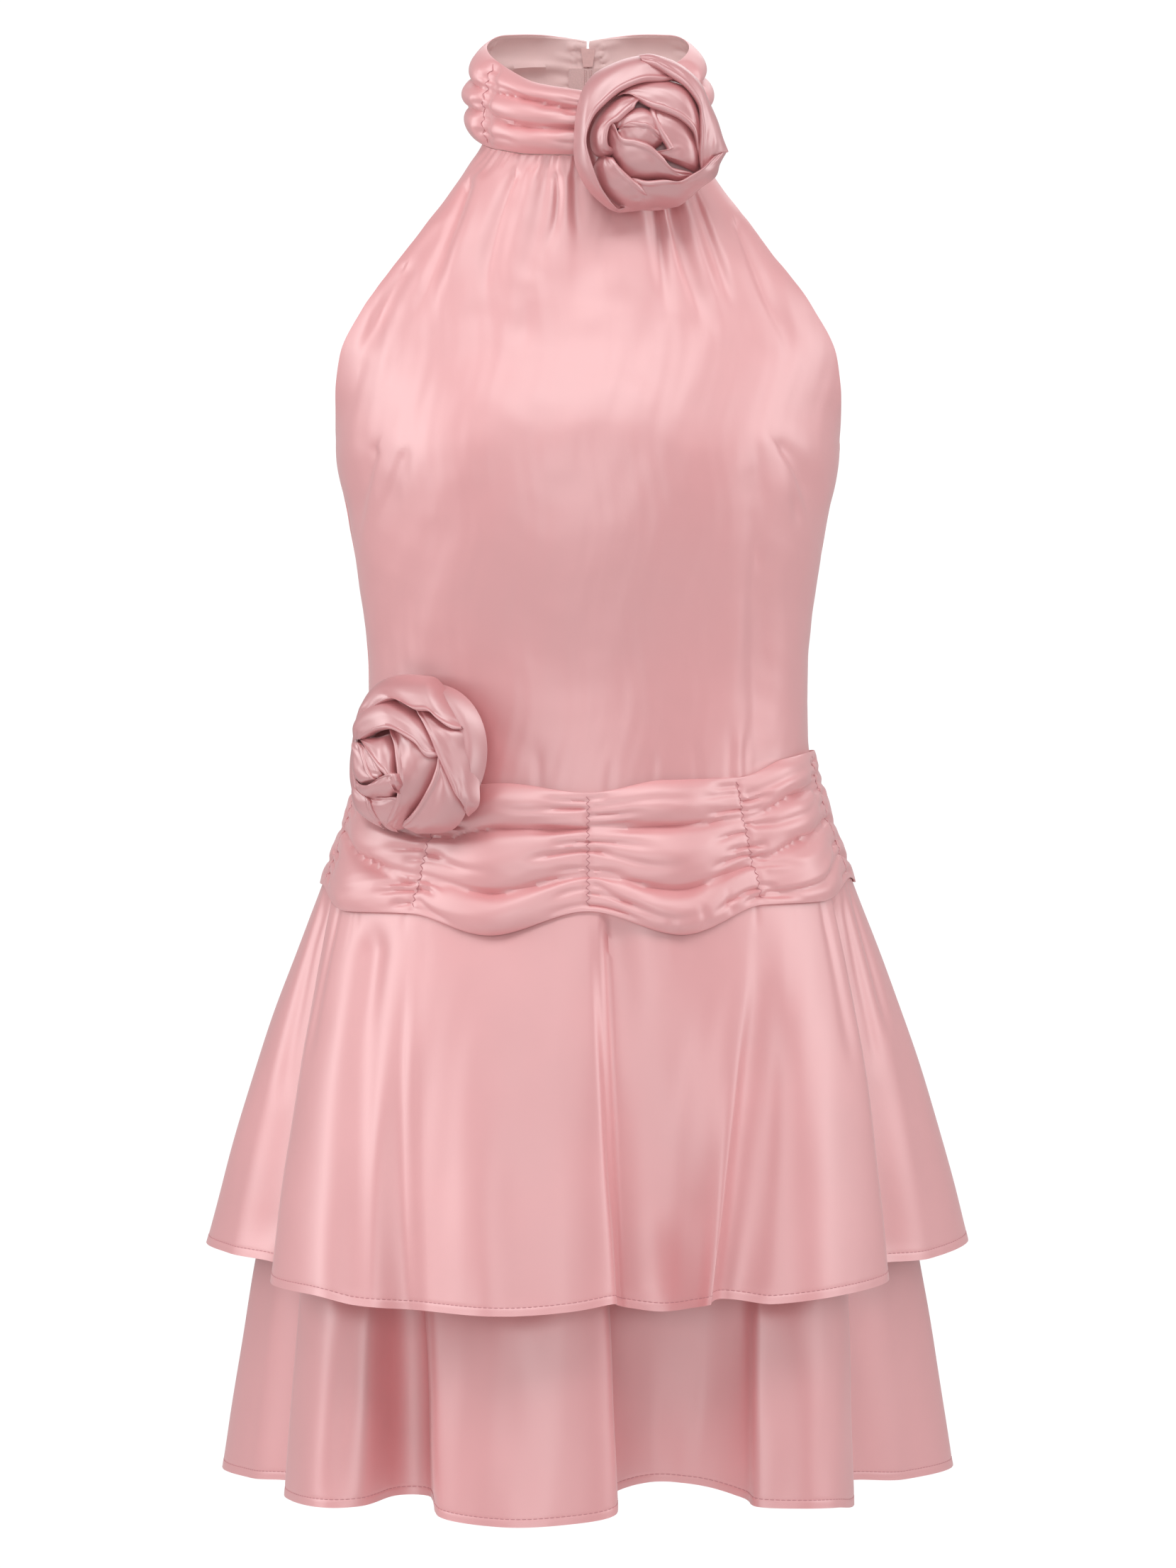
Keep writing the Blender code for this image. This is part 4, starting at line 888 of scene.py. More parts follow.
def new_piece(name, points, faces, materials, uv=None, indices=None):
    """Mesh object of quads, smooth but for its sharp edges."""
    mesh = bpy.data.meshes.new(name)
    points = np.asarray(points, dtype=np.float32).reshape(-1, 3)
    faces = np.asarray(faces, dtype=np.int32)
    sides = faces.shape[1]
    mesh.vertices.add(len(points))
    mesh.vertices.foreach_set("co", points.ravel())
    mesh.loops.add(faces.size)
    mesh.loops.foreach_set("vertex_index", faces.ravel())
    mesh.polygons.add(len(faces))
    mesh.polygons.foreach_set("loop_start", np.arange(0, faces.size, sides, dtype=np.int32))
    if indices is not None:
        mesh.polygons.foreach_set("material_index", np.asarray(indices, dtype=np.int32))
    mesh.update(calc_edges=True)
    if uv is not None:
        layer = mesh.uv_layers.new(name="flat")
        layer.uv.foreach_set("vector", np.asarray(uv, dtype=np.float32)[faces.ravel()].ravel())
    for material in materials:
        mesh.materials.append(material)
    mesh.shade_smooth()
    mesh.set_sharp_from_angle(angle=math.radians(55))
    mesh.validate()
    thing = bpy.data.objects.new(name, mesh)
    bpy.context.scene.collection.objects.link(thing)
    return thing


def shell(name, outer, flat, materials, closed=False, thickness=CLOTH):
    """Thin cloth wall: outer face, inner face in the second material, and rims."""
    rows, columns = outer.shape[:2]
    thick = np.broadcast_to(np.asarray(thickness, dtype=float), (rows, columns))
    inner = outer - grid_normals(outer, closed) * thick[..., None]
    offset = rows * columns
    number = np.arange(offset).reshape(rows, columns)
    front = quads(rows, columns, 0, closed)
    back = quads(rows, columns, offset, closed)[:, ::-1]
    rims = [
        strip(number[0], number[0] + offset, closed),
        strip(number[-1] + offset, number[-1], closed),
    ]
    if not closed:
        rims.append(strip(number[:, 0] + offset, number[:, 0], False))
        rims.append(strip(number[:, -1], number[:, -1] + offset, False))
    rims = np.concatenate(rims)
    faces = np.concatenate([front, rims, back])
    indices = np.repeat([0, 0, 1], [len(front), len(rims), len(back)])
    points = np.concatenate([outer.reshape(-1, 3), inner.reshape(-1, 3)])
    uv = np.concatenate([flat.reshape(-1, 2), flat.reshape(-1, 2)])
    return new_piece(name, points, faces, materials, uv, indices)


def row_levels(count, fine):
    """Levels from 0 to 1, with extra rows close to both ends."""
    ends = np.array([0.0, 0.15, 0.4, 0.8, 1.4, 2.2]) * fine
    middle = np.linspace(3.2 * fine, 1.0 - 3.2 * fine, count)
    return np.concatenate([ends, middle, 1.0 - ends[::-1]])


def edge_thickness(away, rounding, full=CLOTH):
    """Thickness of each row, which rounds off close to a cut edge."""
    return full * np.sqrt(np.clip(0.12 + away / rounding, 0.0, 1.0))


def from_ends(levels):
    """Distance of each row from the nearer end of the levels, as a column."""
    return np.minimum(levels, 1.0 - levels)[:, None]


def raised(base, lift, closed):
    """The surface moved out along its normals by lift, in millimetres."""
    return base + grid_normals(base, closed) * (lift * MM)[..., None]


# Materials

SATIN = (0.74, 0.262, 0.274)
SATIN_INSIDE = (0.80, 0.56, 0.545)
# The roses are made of the dress's satin; this darker, deeper pink is painted shade for the shadows in
# their folds.
ROSE_SATIN_PAINTED_SHADE = (0.57, 0.186, 0.198)
THREAD = (0.60, 0.27, 0.29)
TAPE = (0.76, 0.53, 0.515)
ENAMEL = (0.60, 0.36, 0.345)
FLOOR = (0.90, 0.90, 0.90)

# Gloss of the satin and of the thin coat that stands for its float threads
SATIN_IOR = 1.8
COAT_IOR = 1.9
COAT_ROUGHNESS = 0.48
SHEEN_ROUGHNESS = 0.40
SHEEN_TINT = (1.0, 0.93, 0.93, 1.0)

# Scale of the fine thread lines' noise: close together across, long up and down
WARP_SCALE = (1900.0, 1900.0, 420.0)


def set_inputs(node, **values):
    for name, value in values.items():
        node.inputs[name.replace("_", " ")].default_value = value


def add_node(tree, kind, **values):
    node = tree.nodes.new(kind)
    set_inputs(node, **values)
    return node


def new_material(name):
    """A new material with its node tree, its main shader and its object coordinates."""
    material = bpy.data.materials.new(name)
    material.use_nodes = True
    tree = material.node_tree
    place = add_node(tree, "ShaderNodeTexCoord")
    return material, tree, tree.nodes["Principled BSDF"], place.outputs["Object"]


def add_noise(tree, vector, scale, detail, roughness):
    noise = add_node(tree, "ShaderNodeTexNoise", Scale=scale, Detail=detail, Roughness=roughness)
    tree.links.new(vector, noise.inputs["Vector"])
    return noise.outputs["Fac"]


def add_bump(tree, height, strength, distance):
    bump = add_node(tree, "ShaderNodeBump", Strength=strength, Distance=distance)
    tree.links.new(height, bump.inputs["Height"])
    return bump


def colour_ramp(tree, factor, first, last):
    ramp = add_node(tree, "ShaderNodeValToRGB")
    ramp.color_ramp.elements[0].position = 0.3
    ramp.color_ramp.elements[1].position = 0.7
    ramp.color_ramp.elements[0].color = (*first, 1.0)
    ramp.color_ramp.elements[1].color = (*last, 1.0)
    tree.links.new(factor, ramp.inputs["Fac"])
    return ramp.outputs["Color"]


def shade(colour, factor):
    return tuple(min(1.0, channel * factor) for channel in colour)


def satin_material(name, colour, roughness, specular, coat, sheen, weave):
    """Woven satin: uneven dye and gloss, fine warp lines and a faint slub."""
    material, tree, shader, place = new_material(name)
    cloudy = add_noise(tree, place, 14.0, 3.0, 0.55)
    dye = colour_ramp(tree, cloudy, shade(colour, 0.965), shade(colour, 1.03))
    tree.links.new(dye, shader.inputs["Base Color"])
    gloss = add_node(tree, "ShaderNodeMapRange", To_Min=roughness - 0.03, To_Max=roughness + 0.04)
    tree.links.new(cloudy, gloss.inputs["Value"])
    tree.links.new(gloss.outputs["Result"], shader.inputs["Roughness"])
    set_inputs(
        shader, IOR=SATIN_IOR, Specular_IOR_Level=specular, Coat_Weight=coat, Coat_Roughness=COAT_ROUGHNESS,
        Coat_IOR=COAT_IOR, Sheen_Weight=sheen, Sheen_Roughness=SHEEN_ROUGHNESS, Sheen_Tint=SHEEN_TINT,
    )
    lines = add_node(tree, "ShaderNodeMapping", Scale=WARP_SCALE)
    tree.links.new(place, lines.inputs["Vector"])
    slub = add_noise(tree, lines.outputs["Vector"], 1.0, 2.0, 0.6)
    fine = add_bump(tree, slub, weave, 0.0002)
    soft = add_bump(tree, add_noise(tree, place, 90.0, 2.0, 0.5), 0.10, 0.0012)
    tree.links.new(fine.outputs["Normal"], soft.inputs["Normal"])
    tree.links.new(soft.outputs["Normal"], shader.inputs["Normal"])
    return material


def plain_material(name, colour, roughness, grain, strength, metallic=0.0):
    """Thread, tape, enamel or floor: an uneven colour and a fine grain."""
    material, tree, shader, place = new_material(name)
    set_inputs(shader, Roughness=roughness, Metallic=metallic)
    noise = add_noise(tree, place, grain, 3.0, 0.6)
    tint = colour_ramp(tree, noise, shade(colour, 0.93), shade(colour, 1.05))
    tree.links.new(tint, shader.inputs["Base Color"])
    bump = add_bump(tree, noise, strength, 0.0003)
    tree.links.new(bump.outputs["Normal"], shader.inputs["Normal"])
    return material


satin = satin_material("satin_face", SATIN, 0.55, 1.0, 1.0, 0.25, 0.10)
inside = satin_material("satin_wrong_side", SATIN_INSIDE, 0.62, 0.40, 0.0, 0.15, 0.16)
# Rose satin: the dress's satin darkened as painted shade for the shadows among the petals.
rose_satin = satin_material("rose_face_painted_shade", ROSE_SATIN_PAINTED_SHADE, 0.44, 1.0, 1.0, 0.12, 0.08)
thread = plain_material("sewing_thread", THREAD, 0.55, 2200.0, 0.4)
tape = plain_material("zip_tape_cloth", TAPE, 0.75, 1500.0, 0.5)
enamel = plain_material("zip_enamel", ENAMEL, 0.35, 300.0, 0.08, 0.15)


# Pieces of cloth

# Columns and rows of each grid, without the rows added close to its edges
FRONT_COLUMNS = 224
FRONT_ROWS = 160
BACK_COLUMNS = 110
BACK_ROWS = 120
COLLAR_COLUMNS = 440
COLLAR_ROWS = 44
BAND_COLUMNS = 560
BAND_ROWS = 60
TIER_COLUMNS = 470
UPPER_ROWS = 56
LOWER_ROWS = 54

# Where a wall thins towards its cut edge: as shares of its height, and for the tiers in millimetres
PANEL_ROUNDING = 0.0022
BACK_ROUNDING = 0.0026
TIER_ROUNDING = 0.8

# How much the listed creases are deepened and widened, and how wide the bands' valleys are
CREASE_SCALE = 1.4
FRONT_SOFTNESS = 1.3
FOLD_SOFTNESS = 1.35
BAND_CREASE_SCALE = 1.9
VALLEY_WIDTH = 2.1

# Folds that start above this height come out of the waist seam, the others form below it
SEAM_FOLD_Z = -0.465

# Hem stitches: height above the edge in millimetres, length and pitch in metres. Then the zigzag and the
# small gathers in millimetres, and the thread in metres.
HEM_STITCH = 4.9
HEM_STITCH_LENGTH = 0.0024
HEM_STITCH_PITCH = 0.0032
ZIGZAG_PITCH = 2.3
ZIGZAG_HALF_WIDTH = 0.9
THREAD_RADIUS = 0.00022
NECK_GATHERS_REACH = 58
NECK_HALF_WIDTH = 61.7
WAIST_HALF_ROUND = 472

# Tiers: height of their seam, height over which they flare, rough radius at the seam in millimetres, the
# row of the hem table with the seam line on the wearer's left, rough length of a row in millimetres, how
# evenly the columns are spread, and the rows near the hem in millimetres above it
TIER_SEAM_Z = -0.44
FLARE_HEIGHT = 0.22
SEAM_RADIUS = 150.0
SEAM_ROW = 20
ROW_LENGTH = 60
HEM_SAMPLES = 3000
TIER_SEED = 61
EVENNESS = 0.75
NEAR_HEM = (24, 17, 12, 9, 7.4, 6.2, 5.4, 4.9, 4.4, 3.6, 2.6, 1.6, 0.8, 0.3, 0)


def neck_gathers(spacing, spread, seed, top):
    """Short pleats that the collar seam gathers, leaning away from the centre."""
    chance = np.random.default_rng(seed)
    rows = []
    for place in np.arange(-NECK_GATHERS_REACH, NECK_GATHERS_REACH, spacing):
        start = place + chance.uniform(-1.2, 1.2)
        length = chance.uniform(7, 22)
        height = top(start)
        lean = start * spread * length / 40
        depth = -chance.uniform(0.25, 0.75)
        rows.append(
            Crease(
                start, height, start + 0.5 * lean, height - 0.5 * length, start + lean,
                height - length, depth, 0.9, 1.9, 1.0, 0.0, chance.uniform(-0.3, 0.3),
            )
        )
    return rows


def front_seam_height(x):
    deg = math.degrees(math.asin(max(-1.0, min(1.0, x / NECK_HALF_WIDTH))))
    return float(collar_seam_z(deg)) / MM


def back_seam_height(x):
    return 11.0 - 0.16 * abs(x)


def groove(away, place, width, depth):
    """A stitched line: a narrow dip at this distance from an edge."""
    return -depth * np.exp(-(((away - place) / width) ** 2))


def dress_piece(piece, slot, *nodes):
    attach(piece, "dress")
    if nodes:
        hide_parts(*nodes)


def add_front():
    levels = row_levels(FRONT_ROWS, PANEL_ROUNDING)
    u, v = np.meshgrid(np.linspace(-1, 1, FRONT_COLUMNS), levels)
    base = front_surface(u, v)
    a = base[..., 0] / MM
    b = base[..., 2] / MM
    lift = CREASE_SCALE * crease_field(FRONT_CREASES, a, b, FRONT_SOFTNESS)
    lift = lift + crease_field(neck_gathers(2.6, 0.55, 5, front_seam_height), a, b)
    lift = uneven(lift, BODICE_WAVES, a, b, 3) * ease((1 - v) * 40)
    thick = edge_thickness(from_ends(levels), PANEL_ROUNDING)
    flat = pair(base[..., 0], base[..., 2])
    piece = shell("front_cloth", raised(base, lift, False), flat, [satin, inside], False, thick)
    dress_piece(piece, "satin", "front_panel")


def add_back(name, side, creases, seed, node):
    levels = row_levels(BACK_ROWS, BACK_ROUNDING)
    u, v = np.meshgrid(np.linspace(0, 1, BACK_COLUMNS), levels)
    base = back_surface(u, v)
    a = base[..., 0] / MM
    b = base[..., 2] / MM
    lift = CREASE_SCALE * crease_field(creases, a, b)
    lift = lift + crease_field(neck_gathers(3.0, 0.5, seed, back_seam_height), a, b)
    lift = uneven(lift, BODICE_WAVES, a, b, seed) * ease((1 - v) * 40) * ease(u * 30 + 0.2)
    outer = raised(base, lift, False)
    flat = pair(base[..., 0], base[..., 2])
    if side < 0:
        outer = outer[:, ::-1] * np.array([-1.0, 1.0, 1.0])
        flat = flat[:, ::-1]
    thick = edge_thickness(from_ends(levels), BACK_ROUNDING)
    piece = shell(name, outer, flat, [satin, inside], False, thick)
    dress_piece(piece, "satin", node)


def fans(ruches, radius, height, depth):
    """Small pleats on both sides of each gathered column, spread over the band's height."""
    rows = []
    for ruche in ruches:
        chance = np.random.default_rng(ruche.seed)
        centre = math.radians(ruche.deg) * radius
        for side in (-1, 1):
            for k in range(ruche.pleats):
                start = height * (k + 0.5 + chance.uniform(-0.35, 0.35)) / ruche.pleats
                reach = ruche.reach * chance.uniform(0.45, 1.5)
                tilt = (start / height - 0.5) * chance.uniform(1.0, 7.0)
                rows.append(
                    Crease(
                        centre + side * 0.8, start, centre + side * reach * 0.5, start + 0.35 * tilt,
                        centre + side * reach, start + tilt, -depth * chance.uniform(0.5, 1.2), 0.9, 2.6,
                        1.0, 0.0, chance.uniform(-0.35, 0.35),
                    )
                )
    return rows


def valley_lines(band, deg, b):
    """Narrow dips along the valleys between the puffs, deeper in some places."""
    total = 0.0
    depth = 0.65 * band.pleat
    for k, name in enumerate(("first", "second")):
        away = b - band.height * curve(band.valleys, "deg", name, deg)
        strength = np.clip(0.75 + 0.45 * drift(deg * 1.2, 0 * b, 14, band.seed + 7 + k), 0.2, 1.4)
        total = total - depth * strength * np.exp(-((away / VALLEY_WIDTH) ** 2))
    return total


def gathering_zigzag(band, degrees, levels):
    """Ends of the stitches of each column, as (row, column) places of the grid."""
    rows = np.interp(np.arange(0.03, 0.97, ZIGZAG_PITCH / band.height), levels, np.arange(len(levels)))
    half = math.degrees(ZIGZAG_HALF_WIDTH / band.radius)
    starts = []
    ends = []
    for ruche in band.ruches:
        left, right = np.interp([ruche.deg - half, ruche.deg + half], degrees, np.arange(len(degrees)))
        side = np.where(np.arange(len(rows)) % 2 == 0, left, right)
        starts.append(pair(rows[:-1], side[:-1]))
        ends.append(pair(rows[1:], side[1:]))
    return np.concatenate(starts), np.concatenate(ends)


def ruched_piece(name, band, surface, degrees, levels, thick):
    """Ruched band, and the zigzag thread that gathers each of its columns."""
    deg, v = np.meshgrid(degrees, levels)
    base = surface(deg, v)
    a = np.radians(deg) * band.radius
    b = v * band.height
    lift = BAND_CREASE_SCALE * crease_field(band.creases, a, b)
    lift = lift + valley_lines(band, deg, b)
    lift = lift + crease_field(fans(band.ruches, band.radius, band.height, band.pleat), a, b)
    for ruche in band.ruches:
        away = a - math.radians(ruche.deg) * band.radius
        lift = lift - 0.9 * np.exp(-((away / 1.5) ** 2)) * (0.7 + 0.3 * np.sin(b * 1.9 + ruche.seed))
    lift = uneven(lift, BAND_WAVES, a, b, band.seed) * ease(v * 14) * ease((1 - v) * 14)
    outer = raised(base, lift, False)
    piece = shell(name + "_cloth", outer, pair(a * MM, -b * MM), [satin, inside], False, thick)
    starts, ends = gathering_zigzag(band, degrees, levels)
    normals = grid_normals(outer, False)
    return piece, add_stitches(name + "_gather_stitches", outer, normals, starts, ends)


def sample(grid, places):
    """Points of a grid at fractional (row, column) places."""
    i = np.clip(np.floor(places[:, 0]).astype(int), 0, grid.shape[0] - 2)
    j = np.clip(np.floor(places[:, 1]).astype(int), 0, grid.shape[1] - 2)
    s = (places[:, 0] - i)[:, None]
    t = (places[:, 1] - j)[:, None]
    return lerp(lerp(grid[i, j], grid[i, j + 1], t), lerp(grid[i + 1, j], grid[i + 1, j + 1], t), s)


def add_stitches(name, outer, normals, starts, ends):
    """Short arched threads on a cloth's outer face, one between each pair of places."""
    out = unit(sample(normals, (starts + ends) / 2))
    first = sample(outer, starts)
    last = sample(outer, ends)
    along = unit(last - first)
    side = unit(np.cross(along, out))
    centres = (first, sample(outer, (starts + ends) / 2) + out * THREAD_RADIUS, last)
    rings = []
    for centre in centres:
        for across, up in ((1, 0), (0, 1), (-1, 0), (0, -1)):
            rings.append(centre + THREAD_RADIUS * (across * side + up * out))
    points = np.stack(rings, axis=1)
    faces = [(0, 1, 2, 3), (11, 10, 9, 8)]
    for k in (0, 4):
        faces += [(k + j, k + 4 + j, k + 4 + (j + 1) % 4, k + (j + 1) % 4) for j in range(4)]
    faces = np.array(faces)[None] + 12 * np.arange(len(points))[:, None, None]
    piece = new_piece(name, points, faces.reshape(-1, 4), [thread])
    dress_piece(piece, "satin")
    return piece


def closed_degrees(depth, columns):
    """Angles all round a band, up to the gap at the centre back, where it is this deep."""
    end = 180.0 - math.degrees(math.asin(BACK_GAP_HALF / depth))
    return np.linspace(-end, end, columns)


# Ruched bands: round radius, height and depth of the small pleats in millimetres, and their tables
Ruched = namedtuple("Ruched", "radius height pleat creases ruches valleys seed")
RUCHED_COLLAR = Ruched(COLLAR_ARC, 40.0, 1.0, COLLAR_CREASES, COLLAR_RUCHES, COLLAR_VALLEYS, 21)
RUCHED_WAISTBAND = Ruched(BAND_ARC, 78.0, 2.0, BAND_CREASES, BAND_RUCHES, BAND_VALLEYS, 31)
BAND_BACK_DEPTH = 0.08


def add_collar():
    levels = row_levels(COLLAR_ROWS, 0.009)
    thick = edge_thickness(from_ends(levels), 0.012, 0.0013)
    degrees = closed_degrees(COLLAR_TOP_BACK, COLLAR_COLUMNS)
    piece, sewing = ruched_piece("collar", RUCHED_COLLAR, collar_surface, degrees, levels, thick)
    dress_piece(piece, "satin", "collar")


def add_band():
    levels = row_levels(BAND_ROWS, 0.006)
    thick = edge_thickness(from_ends(levels), 0.008, 0.0012)
    degrees = closed_degrees(BAND_BACK_DEPTH, BAND_COLUMNS)
    piece, sewing = ruched_piece("waistband", RUCHED_WAISTBAND, band_surface, degrees, levels, thick)
    dress_piece(piece, "satin", "waistband")


def even_columns(hem, count):
    """Places along the hem table, most of the way to evenly spaced along the hem itself, and its length."""
    s = np.linspace(0, len(hem), HEM_SAMPLES)
    _, points = hem_line(hem, s)
    length = np.concatenate([[0], np.cumsum(np.linalg.norm(np.diff(points, axis=0), axis=1))])
    blend = EVENNESS * length / length[-1] + (1 - EVENNESS) * s / s[-1]
    return np.interp(np.arange(count) / count, blend, s), length[-1]


def seam_pleats(seed, spacing, depth):
    """Small uneven gathers under the waist seam, round the dress and down from the seam."""
    chance = np.random.default_rng(seed)
    rows = []
    for place in np.arange(-WAIST_HALF_ROUND, WAIST_HALF_ROUND, spacing):
        start = place + chance.uniform(-0.4, 0.4) * spacing
        length = chance.uniform(10, 34)
        sway = chance.uniform(-3, 3)
        rows.append(
            Crease(
                start, -4, start + 0.4 * sway, 0.5 * length, start + sway, length,
                -depth * chance.uniform(0.3, 1.0), 1.3, 3.0, 1.0, 0.0, chance.uniform(-0.4, 0.4),
            )
        )
    return rows


def tier_fold_field(folds, deg, z, hem):
    """How far the long folds lift or sink each place of a tier, in millimetres."""
    total = np.zeros(np.shape(deg))
    radius = np.linalg.norm(hem[..., :2], axis=-1) / MM
    for fold in folds:
        share = np.clip((fold.z_top - z) / (fold.z_top - fold.z_end), 0, 1)
        centre = lerp(fold.deg_top, fold.deg_end, share)
        reach = lerp(SEAM_RADIUS, radius, np.clip((TIER_SEAM_Z - z) / FLARE_HEIGHT, 0, 1))
        away = np.radians(wrap_degrees(deg - centre)) * reach
        width = FOLD_SOFTNESS * lerp(fold.near, fold.far, share) * (1 + fold.lean * np.tanh(away / 2.0))
        if fold.z_top > SEAM_FOLD_Z:
            starts = ease((fold.z_top - z) / 0.022 + 0.4)
        else:
            starts = ease((fold.z_top - z) / 0.07)
        fade = starts * ease((z - fold.z_end) / 0.030 + 0.6)
        total = total + fold.depth * fade * np.exp(-((away / width) ** 2))
    return total


def add_hem_stitches(name, outer, levels, level):
    ring = np.concatenate([outer, outer[:, :1]], axis=1)
    normals = grid_normals(outer, True)
    normals = np.concatenate([normals, normals[:, :1]], axis=1)
    row = np.interp(level, levels, np.arange(len(levels)))
    columns = np.arange(ring.shape[1])
    line = sample(ring, pair(row, columns))
    length = np.concatenate([[0], np.cumsum(np.linalg.norm(np.diff(line, axis=0), axis=1))])
    first = np.arange(0, length[-1] - HEM_STITCH_LENGTH, HEM_STITCH_PITCH)
    starts = pair(row, np.interp(first, length, columns))
    ends = pair(row, np.interp(first + HEM_STITCH_LENGTH, length, columns))
    return add_stitches(name, ring, normals, starts, ends)


def tier_lift(tier, folds, s, v, base, drop, along, seed):
    """Lift of each place of a tier, in millimetres: gathers, folds, waves, hem and side seams."""
    deg, hem = hem_line(tier.hem, s)
    around = np.radians(wrap_degrees(deg)) * SEAM_RADIUS
    down = np.clip(v, -0.1, 1) * drop
    from_hem = (1 - v) * drop
    lift = crease_field(seam_pleats(seed, 24, 0.5), around, down)
    lift = lift + tier_fold_field(folds, deg, base[..., 2], hem)
    lift = uneven(lift, TIER_WAVES, around, down, seed, ease(v * 3))
    pucker = 0.12 * drift(along, 0.3 * down, 8, seed + 2) * np.exp(-((from_hem / 9) ** 2))
    lift = lift + pucker + groove(from_hem, HEM_STITCH, 0.55, 0.30) + 0.12 * (from_hem < HEM_STITCH)
    seam = np.minimum(abs(s - SEAM_ROW), np.minimum(s, len(tier.hem) - s)) * ROW_LENGTH
    lift = lift + groove(seam, 0.0, 0.8, 0.35) * (v > 0)
    return lift * ease((v + 0.4) * 2.5)


def add_tier(name, tier, folds, rows, seed, nodes):
    s_places, round_length = even_columns(tier.hem, TIER_COLUMNS)
    drop = abs(tier.hem[0].z - TIER_SEAM_Z) / MM
    near_hem = 1 - np.array(NEAR_HEM) / drop
    levels = np.concatenate([[-1, -0.5, 0.0], np.linspace(0.012, near_hem[0] - 0.02, rows), near_hem])
    s, v = np.meshgrid(s_places, levels)
    along = s * round_length / len(tier.hem) / MM
    base = tier_surface(tier, s, v)
    outer = raised(base, tier_lift(tier, folds, s, v, base, drop, along, seed), True)
    thick = edge_thickness((1 - v[:, :1]) * drop, TIER_ROUNDING)
    flat = pair(along * MM, -np.clip(v, -0.1, 1) * drop * MM)
    piece = shell(name + "_cloth", outer, flat, [satin, inside], True, thick)
    dress_piece(piece, "satin", *nodes)
    sewing = add_hem_stitches(name + "_hem_stitches", outer, levels, 1 - HEM_STITCH / drop)


# Rosettes

def rose_frame(rose):
    facing = math.radians(rose.facing_deg)
    tilt = math.radians(rose.tilt_deg)
    out = Vector((math.sin(facing) * math.cos(tilt), -math.cos(facing) * math.cos(tilt), math.sin(tilt)))
    across = Vector((math.cos(facing), math.sin(facing), 0))
    up = across.cross(-out).normalized()
    return np.array(across), np.array(out), np.array(up)


def smooth_line(rows, count):
    """Points of a rounded curve through the rows, evenly spread over them."""
    rows = np.asarray(rows, dtype=float)
    padded = np.concatenate([[2 * rows[0] - rows[1]], rows, [2 * rows[-1] - rows[-2]]])
    places = np.linspace(0, len(rows) - 1, count)
    i = np.minimum(places.astype(int), len(rows) - 2)
    t = (places - i)[:, None]
    p0, p1, p2, p3 = (padded[i + k] for k in range(4))
    return 0.5 * (
        2 * p1 + (p2 - p0) * t + (2 * p0 - 5 * p1 + 4 * p2 - p3) * t**2 + (3 * p1 - p0 - 3 * p2 + p3) * t**3
    )


# Points along a petal, and rows up its slope, over its rolled lip and down inside
PETAL_LENGTHWISE = 72
PETAL_SLOPE = 20
PETAL_ROLL = 10
PETAL_INSIDE = 6
ROLL_START = math.radians(20)


def petal_grid(stations, lip_radius, seed):
    """Rows from the tucked edge over the rolled lip and down its inside; columns along the petal."""
    outer = smooth_line([row[:3] for row in stations], PETAL_LENGTHWISE)
    lip = smooth_line([row[3:] for row in stations], PETAL_LENGTHWISE)
    share = np.linspace(0, 1, PETAL_LENGTHWISE)
    taper = np.sqrt(np.clip(np.minimum(share, 1 - share) * 9 + 0.12, 0, 1))
    level = lip - outer
    level[:, 2] = 0
    inward = unit(level)
    width = np.linalg.norm(lip - outer, axis=1)
    roll = lip_radius * taper
    rows = []
    for t in np.linspace(0, 1, PETAL_SLOPE):
        bulge = np.sin(math.pi * t**0.8)
        point = lerp(outer, lip, t)
        point[:, 2] += 0.17 * width * bulge * taper
        point -= inward * (0.05 * width * bulge)[:, None]
        rows.append(point)
    for t in np.linspace(0, 1, PETAL_ROLL + 1)[1:]:
        turn = math.radians(20 + 165 * t)
        point = lip + inward * (roll * (math.cos(ROLL_START) - math.cos(turn)))[:, None]
        point[:, 2] += roll * (math.sin(turn) - math.sin(ROLL_START))
        rows.append(point)
    for t in np.linspace(0, 1, PETAL_INSIDE + 1)[1:]:
        point = rows[PETAL_SLOPE + PETAL_ROLL - 1].copy()
        point[:, 2] -= 7.0 * t * taper
        point -= inward * (2.2 * t * t * taper)[:, None]
        rows.append(point)
    grid = np.array(rows)
    a, b = np.meshgrid(share * 60, np.linspace(0, 20, len(rows)))
    pull = 1 + 1.6 * np.exp(-((share / 0.16) ** 2)) + 1.6 * np.exp(-(((1 - share) / 0.16) ** 2))
    ripple = uneven(0.0, PETAL_WAVES, a, b, seed)
    slope = np.sin(math.pi * np.clip(np.arange(len(rows)) / (PETAL_SLOPE + PETAL_ROLL), 0, 1))
    grid[..., 2] += ripple * pull[None, :] * slope[:, None]
    return grid


DOME_RINGS = 12
BACK_RINGS = (0.86, 0.60, 0.30, 0.02)
BACK_DEPTH = 0.0004


def rose_base(rose):
    """Low dome under the petals, which closes the gaps between them, and its flat back."""
    turns = np.linspace(0, 2 * math.pi, 64, endpoint=False)
    rings = np.concatenate([np.linspace(0.02, 0.90, DOME_RINGS), BACK_RINGS])
    share, turn = np.meshgrid(rings, turns, indexing="ij")
    dome = 0.40 * rose.height * np.sqrt(1 - (0.96 * share) ** 2.4)
    dome[DOME_RINGS - 1] = 0.0
    dome[DOME_RINGS:] = -BACK_DEPTH
    a = rose.radius_x * share * np.cos(turn)
    b = rose.radius_z * share * np.sin(turn)
    return stack(a, b, dome) / MM


